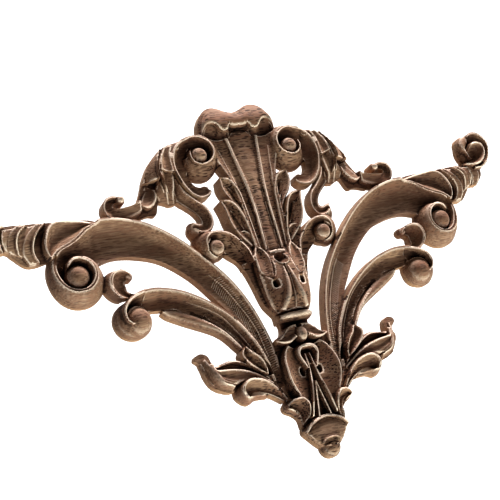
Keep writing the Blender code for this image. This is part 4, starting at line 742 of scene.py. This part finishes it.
def enclosed(points, loops):
    """Which points lie inside the loops, by the number of edges above each."""
    inside = np.zeros(len(points), bool)
    for loop in loops:
        for a, b in zip(loop, np.roll(loop, -1, axis=0)):
            spans = (a[0] > points[:, 0]) != (b[0] > points[:, 0])
            if spans.any():
                run = b[0] - a[0] if b[0] != a[0] else 1e-12
                crossed_at = a[1] + (points[:, 0] - a[0]) * (b[1] - a[1]) / run
                inside ^= spans & (points[:, 1] < crossed_at)
    return inside


def triangulated(loops, inner):
    """Triangles over the loops' inside, counterclockwise as seen from the front."""
    points = np.vstack(loops + [inner]) if len(inner) else np.vstack(loops)
    edges = []
    start = 0
    for loop in loops:
        count = len(loop)
        edges += [(start + k, start + (k + 1) % count) for k in range(count)]
        start += count
    made = delaunay_2d_cdt([tuple(p) for p in points], edges, [], 0, 1e-6)
    if len(made[0]) != len(points):
        raise ValueError("two outline edges cross")
    found = np.array([made[3][k][0] for k in range(len(points))])
    triangles = found[np.array(made[2])]
    middles = points[triangles].mean(axis=1)
    triangles = triangles[enclosed(middles, loops)]
    a, b, c = (points[triangles[:, k]] for k in range(3))
    turned = (b[:, 0] - a[:, 0]) * (c[:, 1] - a[:, 1]) < (b[:, 1] - a[:, 1]) * (c[:, 0] - a[:, 0])
    triangles[turned] = triangles[turned][:, ::-1]
    return points, triangles


def sampled(grid, points):
    """The grid's values at the points, joined linearly."""
    i = np.clip((Z_MAX - points[:, 1]) / CELL, 0, rows - 1.001)
    j = np.clip(points[:, 0] / CELL, 0, columns - 1.001)
    i0, j0 = i.astype(int), j.astype(int)
    fi, fj = i - i0, j - j0
    top = grid[i0, j0] * (1 - fj) + grid[i0, j0 + 1] * fj
    low = grid[i0 + 1, j0] * (1 - fj) + grid[i0 + 1, j0 + 1] * fj
    return top * (1 - fi) + low * fi


def spread_points(heights, share, loops):
    """Inner points: close together where the surface turns fast, far apart where it is plain."""
    bend_x = np.gradient(np.gradient(heights, CELL, axis=1), CELL, axis=1)
    bend_z = np.gradient(np.gradient(heights, CELL, axis=0), CELL, axis=0)
    bend = np.abs(bend_x) + np.abs(bend_z)
    gap = np.clip(BEND_SPACING / np.sqrt(bend + 1e-6), NEAREST, FARTHEST)
    taken = share < 0.9999
    for x, z in np.vstack(loops):
        i = int(round((Z_MAX - z) / CELL))
        j = int(round(x / CELL))
        taken[max(0, i - 2) : i + 3, max(0, j - 2) : j + 3] = True
    i, j = np.nonzero(~taken)
    order = np.argsort(-bend[i, j], kind="stable")
    reach = np.rint(gap / CELL).astype(int)
    points = []
    for a, b in zip(i[order].tolist(), j[order].tolist()):
        if not taken[a, b]:
            k = reach[a, b]
            taken[max(0, a - k) : a + k + 1, max(0, b - k) : b + k + 1] = True
            points.append((b * CELL, Z_MAX - a * CELL))
    return np.array(points)


heights, share = softened(height, SOFTNESS)
loops = [simple_loop(loop, OUTLINE_ERROR) for loop in outline(share) if length(loop) > SMALLEST_HOLE]
plan, front = triangulated(loops, spread_points(heights, share, loops))
back = triangulated(loops, [])[1]
rise = np.maximum(sampled(heights, plan), THINNEST)
rim_count = sum(len(loop) for loop in loops)

spots = [np.stack([plan[:, 0], -rise, plan[:, 1] - MOUNT_Z], axis=1)]
for step in range(1, WALL_STEPS + 1):
    wall = spots[0][:rim_count] * (1, 1 - step / WALL_STEPS, 1)
    spots.append(wall)
starts = np.cumsum([0] + [len(s) for s in spots])
sides = np.concatenate([front[:, [0, 1]], front[:, [1, 2]], front[:, [2, 0]]])
known = {(int(a), int(b)) for a, b in sides}
faces = [tuple(int(k) for k in f) for f in front]
faces += [tuple(int(k) for k in f[::-1] + starts[WALL_STEPS]) for f in back]
for a, b in sorted(known):
    if (b, a) in known or max(plan[a, 0], plan[b, 0]) < 1e-9:
        continue
    for step in range(WALL_STEPS):
        upper = starts[step]
        lower = starts[step + 1]
        faces.append((a + int(upper), a + int(lower), b + int(lower), b + int(upper)))
spots = np.vstack(spots)
off_axis = spots[:, 0] > 1e-9
mirrored = np.arange(len(spots))
mirrored[off_axis] = len(spots) + np.arange(off_axis.sum())
faces += [tuple(int(mirrored[k]) for k in reversed(f)) for f in faces]
source = np.concatenate([np.arange(len(spots)), np.nonzero(off_axis)[0]])
spots = np.vstack([spots, spots[off_axis] * (-1, 1, 1)]) * MM

mesh = bpy.data.meshes.new("carved_applique")
mesh.from_pydata(spots.tolist(), [], faces)
mesh.validate()
mesh.shade_smooth()
mesh.set_sharp_from_angle(angle=math.radians(SHARP_DEGREES))
carving = bpy.data.objects.new("carved_applique", mesh)
bpy.context.scene.collection.objects.link(carving)

# Two measures in millimetres for the colour: recess says how far a point lies under the surface round
# it, where the colour gets painted shade, and edge how far it stands over its nearest neighbours: where
# it lies lower the colour gets painted crease shade, and where it stands higher a paler rim, partly wear
# and partly painted highlight.
WIDE_BLUR = 1.5
FINE_BLUR = 0.2
SLOPE_BLUR = 0.6
DEEPEST_SHARP_CUT = 0.5
OUTLINE_BLUR = 0.5
wooden = height > VOID / 2
carved = np.where(wooden, heights, VOID)
recess_depth = blurred(np.where(wooden, heights, 0), WIDE_BLUR) - heights
no_deeper = np.maximum(heights, softened(carved, SLOPE_BLUR)[0] - DEEPEST_SHARP_CUT)
eased = np.where(wooden, no_deeper, VOID)
crease_depth = softened(eased, FINE_BLUR)[0] - eased

# Both measures fade towards the outline, so the painted crease shade and the painted recess shade stay
# light on the rounded outer edge.
inland = ((softened(carved, OUTLINE_BLUR)[1] - 0.75) / 0.23).clip(0, 1)
crease_depth = np.where(crease_depth > 0, crease_depth * inland, crease_depth)
recess_depth = recess_depth * (0.4 + 0.6 * inland)
for name, grid in (("recess", recess_depth), ("edge", -crease_depth)):
    values = np.zeros(len(source))
    carved_points = source < len(plan)
    values[carved_points] = sampled(grid, plan[source[carved_points]])
    mesh.attributes.new(name, "FLOAT", "POINT").data.foreach_set("value", values)

# Each face says whether it is a sawn wall or the back, which have points past the carved ones, and how
# level it lies, from 0 to 1.
last_point = np.array([max(source[v] for v in polygon.vertices) for polygon in mesh.polygons])
normals = np.zeros(3 * len(mesh.polygons))
mesh.polygons.foreach_get("normal", normals)
mesh.attributes.new("sawn", "FLOAT", "FACE").data.foreach_set("value", last_point >= len(plan))
mesh.attributes.new("level", "FLOAT", "FACE").data.foreach_set("value", np.abs(normals[1::3]))

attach(carving, "root")
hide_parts("applique")


# The wood: raw, unsealed rubberwood, pinkish tan with short dark pores along the grain, which runs
# across the carving. Cut faces are dry and matt. Rims are paler, partly as wear and partly as painted
# highlight; recesses, creases and steep cuts are darker with painted shade; and the sawn walls and the
# back are a little yellower.
PALE = "#BFA28A"
TAN = "#997B67"
BROWN = "#9C7661"
# painted shade: the darker brown laid into recesses and onto steep faces
PAINTED_SHADE_BROWN = "#7C5743"
PORE = "#3E271D"
# painted shade: the dark brown laid into creases
PAINTED_CREASE_SHADE = "#4A3022"
# the paler rims: partly wear, partly painted highlight
RIM_WEAR_AND_HIGHLIGHT = "#FFEEDF"
SAWN_DARK = "#94704F"
SAWN_PALE = "#C6A382"
ROUGHNESS = 0.72
WOOD_IOR = 1.5


def linear(hex_code):
    """A colour given as sRGB hex, as linear values with full alpha."""
    parts = [int(hex_code[k : k + 2], 16) / 255 for k in (1, 3, 5)]
    return [c / 12.92 if c <= 0.04045 else ((c + 0.055) / 1.055) ** 2.4 for c in parts] + [1.0]


def add(tree, kind, values=None, **settings):
    """Adds a node, sets its settings, and fills its inputs, by name or place, with values or outputs."""
    node = tree.nodes.new(kind)
    for key, value in settings.items():
        setattr(node, key, value)
    for key, value in (values or {}).items():
        if isinstance(value, bpy.types.Node):
            value = next(output for output in value.outputs if output.enabled)
        if isinstance(value, bpy.types.NodeSocket):
            tree.links.new(value, node.inputs[key])
        else:
            node.inputs[key].default_value = value
    return node


wood = bpy.data.materials.new("raw_rubberwood")
wood.use_nodes = True
tree = wood.node_tree
tree.nodes.clear()
place = add(tree, "ShaderNodeTexCoord").outputs["Object"]


def streaks(along, deep, across, detail):
    """Soft uneven streaks of the wood, about this long, deep and high, in millimetres."""
    size = [1 / (value * MM) for value in (along, deep, across)]
    grain = add(tree, "ShaderNodeMapping", {"Vector": place, "Scale": size})
    return add(tree, "ShaderNodeTexNoise", {"Vector": grain, "Scale": 1.0, "Detail": detail})


# Growth bands, about 60 mm long and 7 mm high, and fibres, drawn 0.45 mm high so that they show.
bands = streaks(60, 9, 7, 3.0)
fibre = streaks(7, 0.5, 0.45, 3.0)
band_share = add(tree, "ShaderNodeMath", {0: bands, 1: 0.55}, operation="MULTIPLY")
fibre_share = add(tree, "ShaderNodeMath", {0: fibre, 1: 0.45}, operation="MULTIPLY")
tone = add(tree, "ShaderNodeMath", {0: band_share, 1: fibre_share}, operation="ADD")
spread = add(tree, "ShaderNodeMapRange", {"Value": tone, "From Min": 0.36, "From Max": 0.64})
colour = add(tree, "ShaderNodeValToRGB", {"Fac": spread})
colour.color_ramp.elements.new(0.5)
for stop, (position, hex_code) in zip(colour.color_ramp.elements, [(0, BROWN), (0.45, TAN), (1, PALE)]):
    stop.position = position
    stop.color = linear(hex_code)

# The pores are dark dashes about 2.6 mm long. Real ones are 0.2 mm high, and these 0.5 mm so that they
# show. They come in patches, and are plainest near the middle of the board.
PORE_SIZE = (2.6, 0.5, 0.5)
PATCH_SIZE = (14, 6, 5)
MIDDLE = (14 * MM, 24 * MM)
pore_grain = add(tree, "ShaderNodeMapping", {"Vector": place, "Scale": [1 / (v * MM) for v in PORE_SIZE]})
cells = add(tree, "ShaderNodeTexVoronoi", {"Vector": pore_grain, "Scale": 1.0})
near = {"Value": cells.outputs["Distance"], "From Min": 0.4, "From Max": 0.58, "To Min": 1.0, "To Max": 0.0}
dash = add(tree, "ShaderNodeMapRange", near)
lot = add(tree, "ShaderNodeSeparateColor", {0: cells.outputs["Color"]}).outputs[0]
kept = add(tree, "ShaderNodeMapRange", {"Value": lot, "From Min": 0.45, "From Max": 0.5})
patched = {"Value": streaks(*PATCH_SIZE, 2.0), "From Min": 0.36, "From Max": 0.58, "To Min": 0.4}
patched = add(tree, "ShaderNodeMapRange", patched)
sideways = add(tree, "ShaderNodeSeparateXYZ", {0: place}).outputs[0]
sideways = add(tree, "ShaderNodeMath", {0: sideways}, operation="ABSOLUTE")
central = {"Value": sideways, "From Min": MIDDLE[0], "From Max": MIDDLE[1], "To Min": 1.0, "To Max": 0.45}
central = add(tree, "ShaderNodeMapRange", central)
pore = dash
for limit in (kept, patched, central):
    pore = add(tree, "ShaderNodeMath", {0: pore, 1: limit}, operation="MULTIPLY")
pore_share = add(tree, "ShaderNodeMath", {0: pore, 1: 0.95}, operation="MULTIPLY")

# Painted shade in recesses, creases and on steep faces, and rims paler partly as wear and partly as painted
# highlight, from the measures on the mesh, and the yellower sawn faces.
recess = add(tree, "ShaderNodeAttribute", attribute_name="recess").outputs["Fac"]
edge = add(tree, "ShaderNodeAttribute", attribute_name="edge").outputs["Fac"]
sawn_face = add(tree, "ShaderNodeAttribute", attribute_name="sawn").outputs["Fac"]
level_face = add(tree, "ShaderNodeAttribute", attribute_name="level").outputs["Fac"]
# painted shade: recesses get darker the deeper they lie under the surface round them
painted_recess_shade = add(tree, "ShaderNodeMapRange", {"Value": recess, "From Min": 0.3, "From Max": 2.0})
# painted shade: creases get darker the deeper they are cut
painted_crease_shade = {"Value": edge, "From Min": -0.15, "From Max": -0.02, "To Min": 0.7, "To Max": 0.0}
painted_crease_shade = add(tree, "ShaderNodeMapRange", painted_crease_shade)
# painted shade: faces that turn away from the front are darker
painted_steep_shade = {"Value": level_face, "From Min": 0.1, "From Max": 0.6, "To Min": 0.25, "To Max": 0.0}
painted_steep_shade = add(tree, "ShaderNodeMapRange", painted_steep_shade)
# raised rims that face the front get paler: partly wear, partly painted highlight
raised = add(tree, "ShaderNodeMapRange", {"Value": edge, "From Min": 0.02, "From Max": 0.08})
flat_enough = add(tree, "ShaderNodeMapRange", {"Value": level_face, "From Min": 0.35, "From Max": 0.6})
wear_and_painted_highlight = add(tree, "ShaderNodeMath", {0: raised, 1: flat_enough}, operation="MULTIPLY")
sawn_share = add(tree, "ShaderNodeMath", {0: sawn_face, 1: 0.7}, operation="MULTIPLY")
sawn_tones = {0: fibre, 6: linear(SAWN_DARK), 7: linear(SAWN_PALE)}
sawn_wood = add(tree, "ShaderNodeMix", sawn_tones, data_type="RGBA")
# The layers: pores, then painted shade in recesses, creases and on steep faces, then the rims' wear and
# painted highlight, then the sawn tone.
layers = [
    (pore_share, linear(PORE), "MIX"),
    (painted_recess_shade, linear(PAINTED_SHADE_BROWN), "MULTIPLY"),
    (painted_crease_shade, linear(PAINTED_CREASE_SHADE), "MULTIPLY"),
    (painted_steep_shade, linear(PAINTED_SHADE_BROWN), "MULTIPLY"),
    (wear_and_painted_highlight, linear(RIM_WEAR_AND_HIGHLIGHT), "MIX"),
    (sawn_share, sawn_wood, "MIX"),
]
for amount, tint, way in layers:
    colour = add(tree, "ShaderNodeMix", {0: amount, 6: colour, 7: tint}, data_type="RGBA", blend_type=way)

# The dry surface has a nap of loose fibres about 0.1 mm high, and the pores are open.
nap = streaks(1.2, 0.5, 0.5, 4.0)
relief = add(tree, "ShaderNodeMath", {0: nap, 1: 0.10}, operation="MULTIPLY")
for height_map, amount, way in ((fibre, 0.16, "ADD"), (pore, 0.16, "SUBTRACT")):
    part = add(tree, "ShaderNodeMath", {0: height_map, 1: amount}, operation="MULTIPLY")
    relief = add(tree, "ShaderNodeMath", {0: relief, 1: part}, operation=way)
bump = add(tree, "ShaderNodeBump", {"Strength": 1.0, "Distance": MM, "Height": relief})
surface = {"Base Color": colour, "Normal": bump, "Roughness": ROUGHNESS, "IOR": WOOD_IOR}
shader = add(tree, "ShaderNodeBsdfPrincipled", surface)
add(tree, "ShaderNodeOutputMaterial", {"Surface": shader})
mesh.materials.append(wood)


# The studio: a floor of matt white paper far below the carving, a white surround that is brightest above
# and behind, a small soft light high up in front that gives the relief its short shadows, and a larger
# one low down that lights the undersides.
FLOOR_DROP = 1.20
FLOOR_SIZE = 6.0
PAPER = "#EDEBE8"
PAPER_ROUGHNESS = 0.9
floor_mesh = bpy.data.meshes.new("floor")
half = FLOOR_SIZE / 2
low = solid_box[0][2] - FLOOR_DROP
corners = [(-half, -half, low), (half, -half, low), (half, half, low), (-half, half, low)]
floor_mesh.from_pydata(corners, [], [(0, 1, 2, 3)])
studio_floor = bpy.data.objects.new("studio_floor", floor_mesh)
bpy.context.scene.collection.objects.link(studio_floor)
paper = bpy.data.materials.new("pale_paper")
paper.use_nodes = True
paper_shader = paper.node_tree.nodes["Principled BSDF"]
paper_shader.inputs["Base Color"].default_value = linear(PAPER)
paper_shader.inputs["Roughness"].default_value = PAPER_ROUGHNESS
floor_mesh.materials.append(paper)

BRIGHT_SIDE = (0.45, 0.70, 0.55)
SURROUND_GLOW = 1.6
SEEN_WHITE = 1.15
world = bpy.data.worlds.new("white_surround")
bpy.context.scene.world = world
world.use_nodes = True
sky = world.node_tree
sky.nodes.clear()
seen = add(sky, "ShaderNodeLightPath").outputs["Is Camera Ray"]
toward = add(sky, "ShaderNodeTexCoord").outputs["Generated"]
to_bright = {0: toward, 1: BRIGHT_SIDE}
facing = add(sky, "ShaderNodeVectorMath", to_bright, operation="DOT_PRODUCT").outputs["Value"]
rising = {"Value": facing, "From Min": -0.1, "From Max": 0.9, "To Max": SURROUND_GLOW}
glow = add(sky, "ShaderNodeMapRange", rising)
shown = add(sky, "ShaderNodeMix", {0: seen, 2: glow, 3: SEEN_WHITE})
surround = add(sky, "ShaderNodeBackground", {"Color": linear("#FFFFFF"), "Strength": shown})
add(sky, "ShaderNodeOutputWorld", {"Surface": surround})


def soft_light(name, spot, size, power, tint):
    """A square soft light at a spot in metres, aimed at the middle of the carving."""
    lamp = bpy.data.lights.new(name, "AREA")
    lamp.size = size
    lamp.energy = power
    lamp.color = linear(tint)[:3]
    light = bpy.data.objects.new(name, lamp)
    light.location = spot
    light.rotation_euler = (-Vector(spot)).to_track_quat("-Z", "Y").to_euler()
    bpy.context.scene.collection.objects.link(light)


soft_light("key", spot=(0.32, -0.2, 0.95), size=0.16, power=11.0, tint="#FFF2EC")
soft_light("bounce", spot=(0.2, -0.16, -0.9), size=0.4, power=5.2, tint="#E9EFDC")


# The camera stands a little below the carving and to its left, and looks up at it, level with the
# photograph's own tilt. Its lens gives the carving the size that it has in the 500 x 500 frame.
FRAME_PIXELS = 500
FOCAL_PIXELS = 1141.07
SENSOR_MM = 36.0
NEAR_CLIP = 0.01
CAMERA_SPOT = (-0.16957, -0.31811, -0.08141)
CAMERA_RIGHT = (0.88604, -0.37196, -0.27673)
CAMERA_UP = (0.14185, -0.35077, 0.92566)
camera_data = bpy.data.cameras.new("camera")
camera_data.sensor_width = SENSOR_MM
camera_data.lens = FOCAL_PIXELS / FRAME_PIXELS * SENSOR_MM
camera_data.clip_start = NEAR_CLIP
camera = bpy.data.objects.new("camera", camera_data)
right = Vector(CAMERA_RIGHT)
up = Vector(CAMERA_UP)
turn = Matrix((right, up, right.cross(up))).transposed()
camera.matrix_world = Matrix.Translation(CAMERA_SPOT) @ turn.to_4x4()
bpy.context.scene.collection.objects.link(camera)
bpy.context.scene.camera = camera
bpy.context.scene.view_settings.view_transform = "Standard"
bpy.context.scene.view_settings.look = "High Contrast"
